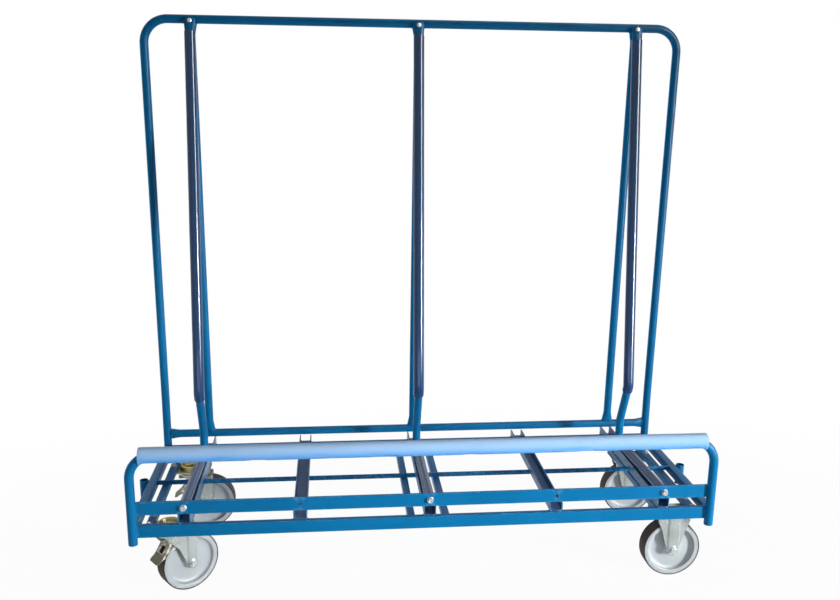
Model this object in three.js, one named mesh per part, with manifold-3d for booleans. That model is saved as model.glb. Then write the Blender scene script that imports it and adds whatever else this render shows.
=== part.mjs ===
// Sheet goods cart: a welded tube frame on two rigid and two swivelling casters.
// Lengths are in millimetres. The front posts stand on the line y = 0 and the floor is at z = 0.
import * as THREE from "three";
import { mergeVertices } from "three/addons/utils/BufferGeometryUtils.js";
import Module from "manifold-3d";

const wasm = await Module();
wasm.setup();

// Frame layout
const postHalfSpan = 955;
const frameDepth = 650;
const stationInset = 162;
const channelPitch = 369;

// Fits
const weldGap = 0.3;
const restGap = 0.2;
const runningGap = 0.3;
const overlap = 1;
const mergeTolerance = 0.0001;
const angleTolerance = 0.000001;

// Bent frame tubes
const frameTube = 30;
const frameTubeWall = 2.5;
const frameTubeSides = 16;
const holeSides = 12;
const bendStepDegrees = 15;

// Front and rear rails
const railDrop = 2;
const railHeight = 43;
const railThickness = 18;
const railWall = 2.5;

// Lower cross bars that carry the casters
const lowerBarWidth = 25;
const lowerBarHeight = 25;
const lowerBarWall = 2.5;
const lowerPairPitch = 116;

// Side rails that join the posts to the rear legs
const sideRailWidth = 30;
const sideRailHeight = 30;
const sideRailWall = 2.5;

// Middle bar between the side rails, and the stake sockets outside them
const midBarY = 340;
const midBarThickness = 7;
const socketTube = 30;
const socketWall = 2.5;
const socketLength = 75;
const socketRise = 4;

// Upper cross bars of the deck, all open at the top
const mainBarHeight = 36;
const mainBarWall = 3.2;
const channelWidth = 45;
const channelHeight = 28;
const channelWall = 4;

// Kick bar across the front of the deck
const kickBarDrop = 21.5;
const kickBarHeight = 45;
const kickBarThickness = 6;
const kickHole = 10.6;
const kickBoltShank = 10;
const kickBoltLength = 28;
const kickBoltHead = 19.6;
const kickBoltHeadHeight = 7;
const kickWasher = 24;
const kickWasherThickness = 2;
const hexSides = 6;

// Front guard hoop with its foam sleeve
const postFootDrop = 19;
const guardRise = 241;
const guardBend = 80;
const foamDiameter = 52;
const foamBendSteps = 2;

// Rear hoop
const rearHoopHeight = 1869;
const rearHoopLean = 34;
const rearHoopKinkRise = 193;
const rearHoopKinkBend = 150;
const rearHoopBend = 84;
const rearTubeRise = 54;

// Bent carriers: a deck length that slopes down to the rear and turns up into a leaning strut
const carrierTube = 30;
const carrierTubeWall = 2.5;
const carrierSides = 16;
const carrierFootInset = 159;
const carrierFootBend = 36;
const carrierRise = 58;
const deckSlope = 2;
const joggleFootRise = 71;
const joggleHeadRise = 231;
const joggleReach = 67;
const joggleBend = 60;
const carrierHeadRise = 6;
const carrierHeadGap = 0.6;

// Plastic sleeves on the carriers
const deckSleeve = 34;
const deckSleeveFront = 12;
const deckSleeveEndGap = 6;
const strutSleeve = 39;
const strutSleeveTail = 22;
const strutSleeveHeadGap = 43;

// Casters
const casterInset = 103;
const casterRearInset = 114;
const casterHeight = 235;
const casterHeadroom = 35;
const plateLength = 146;
const plateWidth = 96;
const plateEdgeGap = 1;
const plateThickness = 4;
const frontSwivelTurn = 36;
const rearSwivelTurn = 4;
const casterTrail = 60;

// Wheels
const wheelSegments = 32;
const tyreDepth = 4;
const tyreHalfWidth = 25;
const tyreFootTaper = 1.5;
const tyreShoulder = 2;
const tyreShoulderDrop = 1;
const tyreCrownInset = 6;
const rimInset = 1;
const rimLipDepth = 11;
const rimSlope = 13;
const webHalfThickness = 7;
const hubRadius = 24;
const hubStandout = 3.5;

// Axles
const axleDiameter = 12;
const axleHead = 22;
const axleHeadHeight = 8;

// Forks
const forkSheet = 4;
const forkClearance = 2;
const forkToe = 20;
const forkToeSegments = 10;
const forkTopHalf = 56;
const forkShoulderDrop = 30;
const forkWaistHalf = 41;
const forkWaistRise = 70;
const forkShinHalf = 31;
const forkShinRise = 32;
const forkRibHalf = 9;
const forkRibRise = 20;
const forkRibDepth = 2.5;

// Swivel head
const crownDrop = 23;
const crownBack = 46;
const earBack = 20;
const earFront = 10;
const earDrop = 23;
const legKnee = 19;
const legKneeDrop = 55;
const raceRadius = 44;
const raceRimOuter = 40;
const raceRimInner = 26;
const raceRimHeight = 19;
const kingpinRadius = 7;
const kingpinNut = 11;
const kingpinNutHeight = 7;
const headSides = 20;

// Brake pedal
const pedalPivotX = -14;
const pedalPivotDrop = 17;
const pedalLength = 83;
const pedalWidth = 56;
const pedalSheet = 3;
const pedalSlope = 56;
const pedalPin = 6;
const pedalBarrel = 10;
const pedalSlotLength = 24;
const pedalSlotWidth = 16;
const pedalSlotCentre = 34;
const pedalCornerCut = 10;
const pedalLip = 9;

// Levels and lines that follow from the sizes above
const stationSpacing = postHalfSpan - stationInset;
const channelSpacing = stationSpacing - channelPitch;
const railBottom = casterHeight - railDrop;
const railTop = railBottom + railHeight;
const lowerBarTop = casterHeight + lowerBarHeight;
const mainBarWidth = deckSleeve + 2 * (mainBarWall + runningGap);
const upperBarFront = kickBarThickness + restGap;
const upperBarLength = frameDepth + railThickness - upperBarFront;
const deckTilt = THREE.MathUtils.degToRad(deckSlope);
const carrierFootY = frameDepth - carrierFootInset;
const deckSleeveEnd = carrierFootY - carrierFootBend - deckSleeveEndGap;
const carrierFrontZ = railTop + carrierRise;
const carrierFrontY = upperBarFront + (carrierTube / 2) * Math.sin(deckTilt);
const joggleFootZ = carrierFrontZ + joggleFootRise;
const joggleHeadZ = carrierFrontZ + joggleHeadRise;
const joggleHeadY = carrierFootY - joggleReach;
const postBottom = railBottom - postFootDrop;
const guardHeight = railTop + guardRise;
const rearHoopKink = railTop + rearHoopKinkRise;
const strutSleeveTop = rearHoopHeight - strutSleeveHeadGap;
const rearTubeZ = railTop + rearTubeRise;
const rearTopY = frameDepth - rearHoopLean;
const carrierHeadY = rearTopY - frameTube / 2 - carrierTube / 2 - carrierHeadGap;
const kickBarBottom = carrierFrontZ - kickBarDrop;
const postToolTop = Math.max(rearTubeZ + frameTube, kickBarBottom + kickBarHeight + overlap);
const socketSpacing = postHalfSpan + sideRailWidth / 2 + socketTube / 2 + restGap;
const casterX = postHalfSpan - casterInset;
const casterFrontY = railThickness + plateEdgeGap + plateWidth / 2;
const casterRearY = frameDepth - casterRearInset;
const tubeClear = frameTube / 2 + weldGap;
const axleBore = axleDiameter / 2 + runningGap;
const wheelRadius = (casterHeight - casterHeadroom) / 2;
const rimRadius = wheelRadius - tyreDepth;
const rimHalfWidth = tyreHalfWidth - rimInset;
const hubHalfWidth = tyreHalfWidth + hubStandout;
const forkInnerHalf = hubHalfWidth + forkClearance;
const forkShoulderZ = casterHeight - forkShoulderDrop;
const forkWaistZ = wheelRadius + forkWaistRise;
const forkShinZ = wheelRadius + forkShinRise;
const forkRibFoot = wheelRadius + forkRibRise;
const crownTop = casterHeight - crownDrop;
const crownBottom = crownTop - forkSheet;
const crownFront = casterTrail + forkToe;
const earZ = crownTop - earDrop;
const legKneeZ = crownTop - legKneeDrop;
const pedalPivotZ = crownTop - pedalPivotDrop;
const cornerScale = 1 / Math.cos(Math.PI / wheelSegments);
const depthMiddle = (frameDepth + railThickness - foamDiameter / 2) / 2;

// Finishes
const paintBlue = { color: 0x0b66a3, roughness: 0.38, metalness: 0.1 };
const sleeveIndigo = { color: 0x2c2c58, roughness: 0.25, metalness: 0.0 };
const foamBlue = { color: 0x7fb2ec, roughness: 0.85, metalness: 0.0 };
const zincGrey = { color: 0xb9c2c2, roughness: 0.35, metalness: 0.85 };
const zincGold = { color: 0x9a8b52, roughness: 0.4, metalness: 0.8 };
const wheelGrey = { color: 0xc9cfd2, roughness: 0.5, metalness: 0.0 };
const treadBrown = { color: 0x2e2224, roughness: 0.7, metalness: 0.0 };

// A centre line made of straight runs and round bends, sampled only where the direction changes
class BentLine extends THREE.Curve {
  constructor(corners, radii) {
    super();
    this.points = [];
    this.tangents = [];
    this.addStation(corners[0], corners[1].clone().sub(corners[0]).normalize());
    for (let index = 1; index < corners.length - 1; index += 1) {
      this.addBend(corners[index - 1], corners[index], corners[index + 1], radii[index - 1]);
    }
    const last = corners.length - 1;
    this.addStation(corners[last], corners[last].clone().sub(corners[last - 1]).normalize());
  }

  addStation(point, tangent) {
    this.points.push(point.clone());
    this.tangents.push(tangent.clone());
  }

  addBend(before, corner, after, radius) {
    const inward = corner.clone().sub(before).normalize();
    const outward = after.clone().sub(corner).normalize();
    const turn = inward.angleTo(outward);
    const side = outward.clone().addScaledVector(inward, -outward.dot(inward)).normalize();
    const start = corner.clone().addScaledVector(inward, -radius * Math.tan(turn / 2));
    const steps = Math.ceil(THREE.MathUtils.radToDeg(turn) / bendStepDegrees - angleTolerance);
    for (let step = 0; step <= steps; step += 1) {
      const angle = (turn * step) / steps;
      const point = start.clone().addScaledVector(inward, radius * Math.sin(angle));
      point.addScaledVector(side, radius * (1 - Math.cos(angle)));
      const tangent = inward.clone().multiplyScalar(Math.cos(angle));
      this.addStation(point, tangent.addScaledVector(side, Math.sin(angle)));
    }
  }

  between(first, last) {
    const part = new BentLine([this.points[first], this.points[last]], []);
    part.points = this.points.slice(first, last + 1);
    part.tangents = this.tangents.slice(first, last + 1);
    return part;
  }

  getPoint(t, target = new THREE.Vector3()) {
    const place = t * (this.points.length - 1);
    const index = Math.min(Math.floor(place), this.points.length - 2);
    return target.lerpVectors(this.points[index], this.points[index + 1], place - index);
  }

  getPointAt(u, target) {
    return this.getPoint(u, target);
  }

  getSpacedPoints() {
    return this.points.map((point) => point.clone());
  }

  getTangentAt(u, target = new THREE.Vector3()) {
    return target.copy(this.tangents[Math.round(u * (this.points.length - 1))]);
  }
}

function polygonPoints(radius, sides) {
  const points = [];
  for (let index = 0; index < sides; index += 1) {
    const angle = (2 * Math.PI * index) / sides;
    points.push(new THREE.Vector2(radius * Math.cos(angle), radius * Math.sin(angle)));
  }
  return points;
}

function ringShape(outerRadius, innerRadius, sides) {
  const shape = new THREE.Shape(polygonPoints(outerRadius, sides));
  shape.holes.push(new THREE.Path(polygonPoints(innerRadius, sides)));
  return shape;
}

function rectanglePoints(width, height) {
  return [
    new THREE.Vector2(-width / 2, -height / 2),
    new THREE.Vector2(width / 2, -height / 2),
    new THREE.Vector2(width / 2, height / 2),
    new THREE.Vector2(-width / 2, height / 2),
  ];
}

function boxTubeShape(width, height, wall) {
  const shape = new THREE.Shape(rectanglePoints(width, height));
  shape.holes.push(new THREE.Path(rectanglePoints(width - 2 * wall, height - 2 * wall)));
  return shape;
}

// A channel section that stands on z = 0 and is open at the top
function channelShape(width, height, wall) {
  const outer = width / 2;
  const inner = outer - wall;
  return new THREE.Shape([
    new THREE.Vector2(-outer, 0),
    new THREE.Vector2(outer, 0),
    new THREE.Vector2(outer, height),
    new THREE.Vector2(inner, height),
    new THREE.Vector2(inner, wall),
    new THREE.Vector2(-inner, wall),
    new THREE.Vector2(-inner, height),
    new THREE.Vector2(-outer, height),
  ]);
}

function sweep(line, outerRadius, innerRadius, sides) {
  const shape = ringShape(outerRadius, innerRadius, sides);
  const steps = line.points.length - 1;
  return new THREE.ExtrudeGeometry(shape, { steps, bevelEnabled: false, extrudePath: line });
}

function straightTube(from, to, outerRadius, innerRadius, sides) {
  return sweep(new BentLine([from, to], []), outerRadius, innerRadius, sides);
}

// A section drawn in y and z, drawn out along x about its middle
function prismAlongX(shape, length) {
  const geometry = new THREE.ExtrudeGeometry(shape, { depth: length, bevelEnabled: false });
  const turn = new THREE.Matrix4().makeBasis(
    new THREE.Vector3(0, 1, 0),
    new THREE.Vector3(0, 0, 1),
    new THREE.Vector3(1, 0, 0),
  );
  return geometry.applyMatrix4(turn).translate(-length / 2, 0, 0);
}

// A section drawn in x and z, drawn out along y from zero
function prismAlongY(shape, length) {
  const geometry = new THREE.ExtrudeGeometry(shape, { depth: length, bevelEnabled: false });
  return geometry.rotateX(Math.PI / 2).translate(0, length, 0);
}

function uprightCylinder(radius, bottom, top, sides) {
  const geometry = new THREE.CylinderGeometry(radius, radius, top - bottom, sides);
  return geometry.rotateX(Math.PI / 2).translate(0, 0, (bottom + top) / 2);
}

function crossCylinder(radius, from, to, sides) {
  const geometry = new THREE.CylinderGeometry(radius, radius, to - from, sides);
  return geometry.translate(0, (from + to) / 2, 0);
}

function lengthCylinder(radius, length, sides) {
  return new THREE.CylinderGeometry(radius, radius, length, sides).rotateZ(Math.PI / 2);
}

function block(width, depth, bottom, top) {
  return new THREE.BoxGeometry(width, depth, top - bottom).translate(0, 0, (bottom + top) / 2);
}

function toSolid(geometry) {
  const bare = geometry.clone();
  bare.deleteAttribute("normal");
  bare.deleteAttribute("uv");
  const merged = mergeVertices(bare, mergeTolerance);
  return new wasm.Manifold(new wasm.Mesh({
    numProp: 3,
    vertProperties: new Float32Array(merged.attributes.position.array),
    triVerts: new Uint32Array(merged.index.array),
  }));
}

function toGeometry(solid) {
  const mesh = solid.getMesh();
  const geometry = new THREE.BufferGeometry();
  geometry.setAttribute("position", new THREE.BufferAttribute(new Float32Array(mesh.vertProperties), 3));
  geometry.setIndex(new THREE.BufferAttribute(new Uint32Array(mesh.triVerts), 1));
  return geometry;
}

function cut(body, ...tools) {
  let solid = toSolid(body);
  for (const tool of tools) {
    solid = solid.subtract(toSolid(tool));
  }
  return toGeometry(solid);
}

function weld(first, ...others) {
  let solid = toSolid(first);
  for (const other of others) {
    solid = solid.add(toSolid(other));
  }
  return toGeometry(solid);
}

const cart = new THREE.Group();
cart.position.y = -depthMiddle;

function add(parent, name, geometry, finish, position = [0, 0, 0]) {
  const mesh = new THREE.Mesh(geometry, new THREE.MeshStandardMaterial(finish));
  mesh.name = name;
  mesh.position.set(...position);
  parent.add(mesh);
}

const point = (x, y, z) => new THREE.Vector3(x, y, z);
const ends = [["left", -1], ["right", 1]];
const stations = [["left", -1], ["centre", 0], ["right", 1]];

// Two upright tools that leave room for a pair of posts
function postTools(y) {
  return ends.map(([, side]) => {
    const tool = uprightCylinder(tubeClear, 0, postToolTop, frameTubeSides);
    return tool.translate(side * postHalfSpan, y, 0);
  });
}

// Front and rear rails, notched around the posts
function buildRails() {
  const section = boxTubeShape(railThickness, railHeight, railWall);
  const z = (railBottom + railTop) / 2;
  for (const [name, y] of [["front_rail", 0], ["rear_rail", frameDepth]]) {
    const bar = prismAlongX(section, 2 * postHalfSpan).translate(0, y + railThickness / 2, z);
    add(cart, name, cut(bar, ...postTools(y)), paintBlue);
  }
}

// Lower cross bars in three pairs
function buildLowerBars() {
  const section = boxTubeShape(lowerBarWidth, lowerBarHeight, lowerBarWall);
  const length = frameDepth - railThickness - 2 * restGap;
  const z = casterHeight + lowerBarHeight / 2;
  for (const [label, middle] of [["left", -casterX], ["centre", 0], ["right", casterX]]) {
    for (const [order, shift] of [["a", -lowerPairPitch / 2], ["b", lowerPairPitch / 2]]) {
      const place = [middle + shift, railThickness + restGap, z];
      add(cart, `lower_bar_${label}_${order}`, prismAlongY(section, length), paintBlue, place);
    }
  }
}

// Side rails, the middle bar between them and the stake socket outside each
function buildSideRails() {
  const section = boxTubeShape(sideRailWidth, sideRailHeight, sideRailWall);
  const front = railThickness + restGap;
  const length = frameDepth - frameTube / 2 - restGap - front;
  const top = railTop + socketRise;
  const bore = socketTube / 2 - socketWall;
  for (const [label, side] of ends) {
    const place = [side * postHalfSpan, front, railTop - sideRailHeight / 2];
    add(cart, `side_rail_${label}`, prismAlongY(section, length), paintBlue, place);
    const from = point(0, 0, top - socketLength);
    const socket = straightTube(from, point(0, 0, top), socketTube / 2, bore, frameTubeSides);
    add(cart, `stake_socket_${label}`, socket, paintBlue, [side * socketSpacing, midBarY, 0]);
  }
  const midSection = new THREE.Shape(rectanglePoints(midBarThickness, railTop - lowerBarTop));
  const midLength = 2 * postHalfSpan - sideRailWidth - 2 * restGap;
  const midPlace = [0, midBarY, (railTop + lowerBarTop) / 2];
  add(cart, "mid_bar", prismAlongX(midSection, midLength), paintBlue, midPlace);
}

// Upper cross bars that stand on the rails: the main bars hold the carriers between their walls
function buildUpperBars() {
  const mainSection = channelShape(mainBarWidth, mainBarHeight, mainBarWall);
  for (const [label, side] of stations) {
    const place = [side * stationSpacing, upperBarFront, railTop];
    add(cart, `main_bar_${label}`, prismAlongY(mainSection, upperBarLength), paintBlue, place);
  }
  const channelSection = channelShape(channelWidth, channelHeight, channelWall);
  for (const [label, side] of ends) {
    const place = [side * channelSpacing, upperBarFront, railTop];
    add(cart, `deck_channel_${label}`, prismAlongY(channelSection, upperBarLength), paintBlue, place);
  }
}

// Kick bar with a bolt into the end of each carrier and a spare hole over each channel
function buildKickBar() {
  const section = new THREE.Shape(rectanglePoints(kickBarThickness, kickBarHeight));
  const z = kickBarBottom + kickBarHeight / 2;
  const bar = prismAlongX(section, 2 * postHalfSpan).translate(0, kickBarThickness / 2, z);
  const places = [-stationSpacing, -channelSpacing, 0, channelSpacing, stationSpacing];
  const holes = places.map((x) => {
    const hole = crossCylinder(kickHole / 2, -kickBarThickness, 2 * kickBarThickness, holeSides);
    return hole.translate(x, 0, carrierFrontZ);
  });
  add(cart, "kick_bar", cut(bar, ...postTools(0), ...holes), paintBlue);
  const headEnd = -restGap - kickWasherThickness;
  const shank = crossCylinder(kickBoltShank / 2, headEnd, kickBoltLength, holeSides);
  const washer = crossCylinder(kickWasher / 2, headEnd, -restGap, frameTubeSides);
  const head = crossCylinder(kickBoltHead / 2, headEnd - kickBoltHeadHeight, headEnd, hexSides);
  for (const [label, side] of stations) {
    const place = [side * stationSpacing, 0, carrierFrontZ];
    add(cart, `kick_bolt_${label}`, weld(shank, washer, head), zincGrey, place);
  }
}

// Front guard hoop and the foam sleeve drawn over its top run
function buildGuard() {
  const corners = [
    point(-postHalfSpan, 0, postBottom),
    point(-postHalfSpan, 0, guardHeight),
    point(postHalfSpan, 0, guardHeight),
    point(postHalfSpan, 0, postBottom),
  ];
  const line = new BentLine(corners, [guardBend, guardBend]);
  const radius = frameTube / 2;
  add(cart, "front_hoop", sweep(line, radius, radius - frameTubeWall, frameTubeSides), paintBlue);
  const bendStations = line.points.length / 2 - 1;
  const first = bendStations - foamBendSteps;
  const cover = line.between(first, line.points.length - 1 - first);
  add(cart, "foam_sleeve", sweep(cover, foamDiameter / 2, tubeClear, frameTubeSides), foamBlue);
}

// Rear hoop, its low cross tube and the three plain uprights inside it
function buildRearFrame() {
  const corners = [
    point(-postHalfSpan, frameDepth, postBottom),
    point(-postHalfSpan, frameDepth, rearHoopKink),
    point(-postHalfSpan, rearTopY, rearHoopHeight),
    point(postHalfSpan, rearTopY, rearHoopHeight),
    point(postHalfSpan, frameDepth, rearHoopKink),
    point(postHalfSpan, frameDepth, postBottom),
  ];
  const radii = [rearHoopKinkBend, rearHoopBend, rearHoopBend, rearHoopKinkBend];
  const radius = frameTube / 2;
  const hoop = sweep(new BentLine(corners, radii), radius, radius - frameTubeWall, frameTubeSides);
  add(cart, "rear_hoop", hoop, paintBlue);
  const across = straightTube(
    point(-postHalfSpan, frameDepth, rearTubeZ),
    point(postHalfSpan, frameDepth, rearTubeZ),
    radius,
    radius - frameTubeWall,
    frameTubeSides,
  );
  add(cart, "rear_low_tube", cut(across, ...postTools(frameDepth)), paintBlue);
  const lowTool = lengthCylinder(tubeClear, 2 * postHalfSpan, frameTubeSides);
  lowTool.translate(0, frameDepth, rearTubeZ);
  const topTool = lengthCylinder(tubeClear, 2 * postHalfSpan, frameTubeSides);
  topTool.translate(0, rearTopY, rearHoopHeight);
  for (const [label, side] of stations) {
    const x = side * stationSpacing;
    const upright = straightTube(
      point(x, frameDepth, rearTubeZ),
      point(x, rearTopY, rearHoopHeight),
      radius,
      radius - frameTubeWall,
      frameTubeSides,
    );
    add(cart, `rear_upright_${label}`, cut(upright, lowTool, topTool), paintBlue);
  }
}

// A point on the sloping axis of the deck length
function deckPoint(y) {
  return point(0, y, carrierFrontZ - (y - upperBarFront) * Math.tan(deckTilt));
}

// Carriers with a sleeve on the deck length and another on the leaning strut
function buildCarriers() {
  const foot = deckPoint(carrierFootY);
  const joggleFoot = point(0, carrierFootY, joggleFootZ);
  const joggleHead = point(0, joggleHeadY, joggleHeadZ);
  const head = point(0, carrierHeadY, rearHoopHeight);
  const lean = head.clone().sub(joggleHead).normalize();
  const tip = head.clone().addScaledVector(lean, carrierHeadRise);
  const line = new BentLine(
    [deckPoint(carrierFrontY), foot, joggleFoot, joggleHead, tip],
    [carrierFootBend, joggleBend, joggleBend],
  );
  const tail = joggleFoot.clone().sub(joggleHead).normalize();
  const sleeveFoot = joggleHead.clone().addScaledVector(tail, strutSleeveTail);
  const sleeveHead = joggleHead.clone().addScaledVector(lean, (strutSleeveTop - joggleHeadZ) / lean.z);
  const strutLine = new BentLine([sleeveFoot, joggleHead, sleeveHead], [joggleBend]);
  const radius = carrierTube / 2;
  const inside = radius + runningGap;
  for (const [label, side] of stations) {
    const place = [side * stationSpacing, 0, 0];
    const tube = sweep(line, radius, radius - carrierTubeWall, carrierSides);
    add(cart, `carrier_${label}`, tube, paintBlue, place);
    const deck = straightTube(
      deckPoint(deckSleeveFront),
      deckPoint(deckSleeveEnd),
      deckSleeve / 2,
      inside,
      carrierSides,
    );
    add(cart, `deck_sleeve_${label}`, deck, sleeveIndigo, place);
    const strut = sweep(strutLine, strutSleeve / 2, inside, carrierSides);
    add(cart, `strut_sleeve_${label}`, strut, sleeveIndigo, place);
  }
}

// Wheel pieces, turned about the axle that lies along y
function rimGeometry() {
  const lip = rimRadius - rimLipDepth;
  const half = [
    [axleBore, hubHalfWidth],
    [hubRadius, hubHalfWidth],
    [hubRadius + rimSlope / 2, webHalfThickness],
    [lip - rimSlope, webHalfThickness],
    [lip, rimHalfWidth],
    [rimRadius, rimHalfWidth],
  ];
  return turned(half);
}

function tyreGeometry() {
  const half = [
    [rimRadius + restGap, tyreHalfWidth - tyreFootTaper],
    [rimRadius + tyreDepth / 2, tyreHalfWidth],
    [wheelRadius - tyreShoulderDrop, tyreHalfWidth - tyreShoulder],
    [wheelRadius, tyreHalfWidth - tyreCrownInset],
  ];
  return turned(half);
}

function turned(half) {
  const upper = half.map(([radius, y]) => new THREE.Vector2(radius * cornerScale, -y));
  const lower = half.map(([radius, y]) => new THREE.Vector2(radius * cornerScale, y)).reverse();
  const profile = [...upper, ...lower, upper[0].clone()];
  const flat = Math.PI / wheelSegments;
  return new THREE.LatheGeometry(profile, wheelSegments).rotateY(flat);
}

function axleGeometry() {
  const face = forkInnerHalf + forkSheet + forkRibDepth + restGap;
  const shaft = crossCylinder(axleDiameter / 2, -face - axleHeadHeight, face + axleHeadHeight, holeSides);
  const front = crossCylinder(axleHead / 2, -face - axleHeadHeight, -face, hexSides);
  const back = crossCylinder(axleHead / 2, face, face + axleHeadHeight, hexSides);
  return weld(shaft, front, back);
}

// The round toe of a fork leg, drawn from its right side down and up its left side
function toePoints(x, z) {
  const points = [];
  for (let step = 0; step <= forkToeSegments; step += 1) {
    const angle = (Math.PI * step) / forkToeSegments;
    points.push(new THREE.Vector2(x + forkToe * Math.cos(angle), z - forkToe * Math.sin(angle)));
  }
  return points;
}

function legPair(outline, rib) {
  const shape = new THREE.Shape(outline);
  const legs = [];
  for (const side of [-1, 1]) {
    const y = side > 0 ? forkInnerHalf : -forkInnerHalf - forkSheet;
    legs.push(prismAlongY(shape, forkSheet).translate(0, y, 0));
    const ribY = side > 0 ? forkInnerHalf : -forkInnerHalf - forkSheet - forkRibDepth;
    legs.push(prismAlongY(new THREE.Shape(rib), forkSheet + forkRibDepth).translate(0, ribY, 0));
  }
  return legs;
}

function axleTool(x) {
  const reach = forkInnerHalf + 2 * forkSheet + forkRibDepth;
  return crossCylinder(axleDiameter / 2 + restGap, -reach, reach, holeSides).translate(x, 0, wheelRadius);
}

function rigidForkGeometry() {
  const plateBottom = casterHeight - plateThickness;
  const outline = [
    new THREE.Vector2(-forkShinHalf, forkShinZ),
    new THREE.Vector2(-forkWaistHalf, forkWaistZ),
    new THREE.Vector2(-forkTopHalf, forkShoulderZ),
    new THREE.Vector2(-forkTopHalf, plateBottom + plateThickness / 2),
    new THREE.Vector2(forkTopHalf, plateBottom + plateThickness / 2),
    new THREE.Vector2(forkTopHalf, forkShoulderZ),
    new THREE.Vector2(forkWaistHalf, forkWaistZ),
    new THREE.Vector2(forkShinHalf, forkShinZ),
    ...toePoints(0, wheelRadius),
  ];
  const rib = [
    new THREE.Vector2(-forkRibHalf, forkRibFoot),
    new THREE.Vector2(forkRibHalf, forkRibFoot),
    new THREE.Vector2(forkRibHalf, plateBottom + plateThickness / 2),
    new THREE.Vector2(-forkRibHalf, plateBottom + plateThickness / 2),
  ];
  const plate = block(plateLength, plateWidth, plateBottom, casterHeight);
  return cut(weld(plate, ...legPair(outline, rib)), axleTool(0));
}

// Fixed plate of a swivel caster with its race housing, kingpin and nut
function swivelPlateGeometry() {
  const plateBottom = casterHeight - plateThickness;
  const rimTop = casterHeight + raceRimHeight;
  const plate = block(plateLength, plateWidth, plateBottom, casterHeight);
  const race = uprightCylinder(raceRadius, crownTop + runningGap, casterHeight, headSides);
  const rim = uprightCylinder(raceRimOuter, casterHeight - overlap, rimTop, headSides);
  const dish = uprightCylinder(raceRimInner, casterHeight, rimTop + overlap, headSides);
  const nutTop = crownBottom - runningGap;
  const pin = uprightCylinder(kingpinRadius, nutTop - kingpinNutHeight, rimTop - overlap, headSides);
  const nut = uprightCylinder(kingpinNut, nutTop - kingpinNutHeight, nutTop, hexSides);
  return weld(cut(weld(plate, race, rim), dish), pin, nut);
}

function swivelForkGeometry() {
  const outline = [
    new THREE.Vector2(-crownBack, crownBottom),
    new THREE.Vector2(-crownBack, crownTop),
    new THREE.Vector2(crownFront, crownTop),
    ...toePoints(casterTrail, wheelRadius),
    new THREE.Vector2(legKnee, legKneeZ),
    new THREE.Vector2(-earFront, earZ),
    new THREE.Vector2(-earBack, earZ),
    new THREE.Vector2(-earBack, crownBottom),
  ];
  const ribTop = (earZ + crownTop) / 2;
  const rib = [
    new THREE.Vector2(casterTrail - forkRibHalf, forkRibFoot),
    new THREE.Vector2(casterTrail + forkRibHalf, forkRibFoot),
    new THREE.Vector2(casterTrail + forkRibHalf, ribTop),
    new THREE.Vector2(casterTrail - forkRibHalf, ribTop),
  ];
  const crown = block(crownBack + crownFront, 2 * (forkInnerHalf + forkSheet), crownBottom, crownTop);
  crown.translate((crownFront - crownBack) / 2, 0, 0);
  const pinTool = uprightCylinder(kingpinRadius + runningGap, 0, casterHeight, headSides);
  const reach = forkInnerHalf + 2 * forkSheet;
  const pivotTool = crossCylinder(pedalPin / 2 + runningGap, -reach, reach, holeSides);
  pivotTool.translate(pedalPivotX, 0, pedalPivotZ);
  return cut(weld(crown, ...legPair(outline, rib)), axleTool(casterTrail), pinTool, pivotTool);
}

// Brake pedal about its own pivot, before it is tipped to its slope
function pedalGeometry() {
  const half = pedalWidth / 2;
  const outline = [
    new THREE.Vector2(0, -half),
    new THREE.Vector2(0, half),
    new THREE.Vector2(-pedalLength + pedalCornerCut, half),
    new THREE.Vector2(-pedalLength, half - pedalCornerCut),
    new THREE.Vector2(-pedalLength, -half + pedalCornerCut),
    new THREE.Vector2(-pedalLength + pedalCornerCut, -half),
  ];
  const shape = new THREE.Shape(outline);
  const slot = rectanglePoints(pedalSlotLength, pedalSlotWidth);
  shape.holes.push(new THREE.Path(slot.map((corner) => corner.add(new THREE.Vector2(-pedalSlotCentre, 0)))));
  const plate = new THREE.ExtrudeGeometry(shape, { depth: pedalSheet, bevelEnabled: false });
  const underside = overlap - pedalBarrel / 2 - pedalSheet;
  plate.translate(0, 0, underside);
  const pinHalf = forkInnerHalf + forkSheet;
  const pin = crossCylinder(pedalPin / 2, -pinHalf, pinHalf, holeSides);
  const barrel = crossCylinder(pedalBarrel / 2, -half, half, holeSides);
  const lip = new THREE.BoxGeometry(pedalSheet, pedalWidth - 2 * pedalCornerCut, pedalLip);
  lip.translate(-pedalLength + pedalSheet / 2, 0, underside + pedalLip / 2);
  return weld(plate, barrel, pin, lip);
}

function addWheel(parent, label, x) {
  const place = [x, 0, wheelRadius];
  add(parent, `axle_${label}`, axleGeometry(), zincGrey, place);
  add(parent, `rim_${label}`, rimGeometry(), wheelGrey, place);
  add(parent, `tyre_${label}`, tyreGeometry(), treadBrown, place);
}

function buildRigidCaster(label, y) {
  const caster = new THREE.Group();
  caster.position.set(casterX, y, 0);
  cart.add(caster);
  add(caster, `fork_${label}`, rigidForkGeometry(), zincGrey);
  addWheel(caster, label, 0);
}

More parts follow.
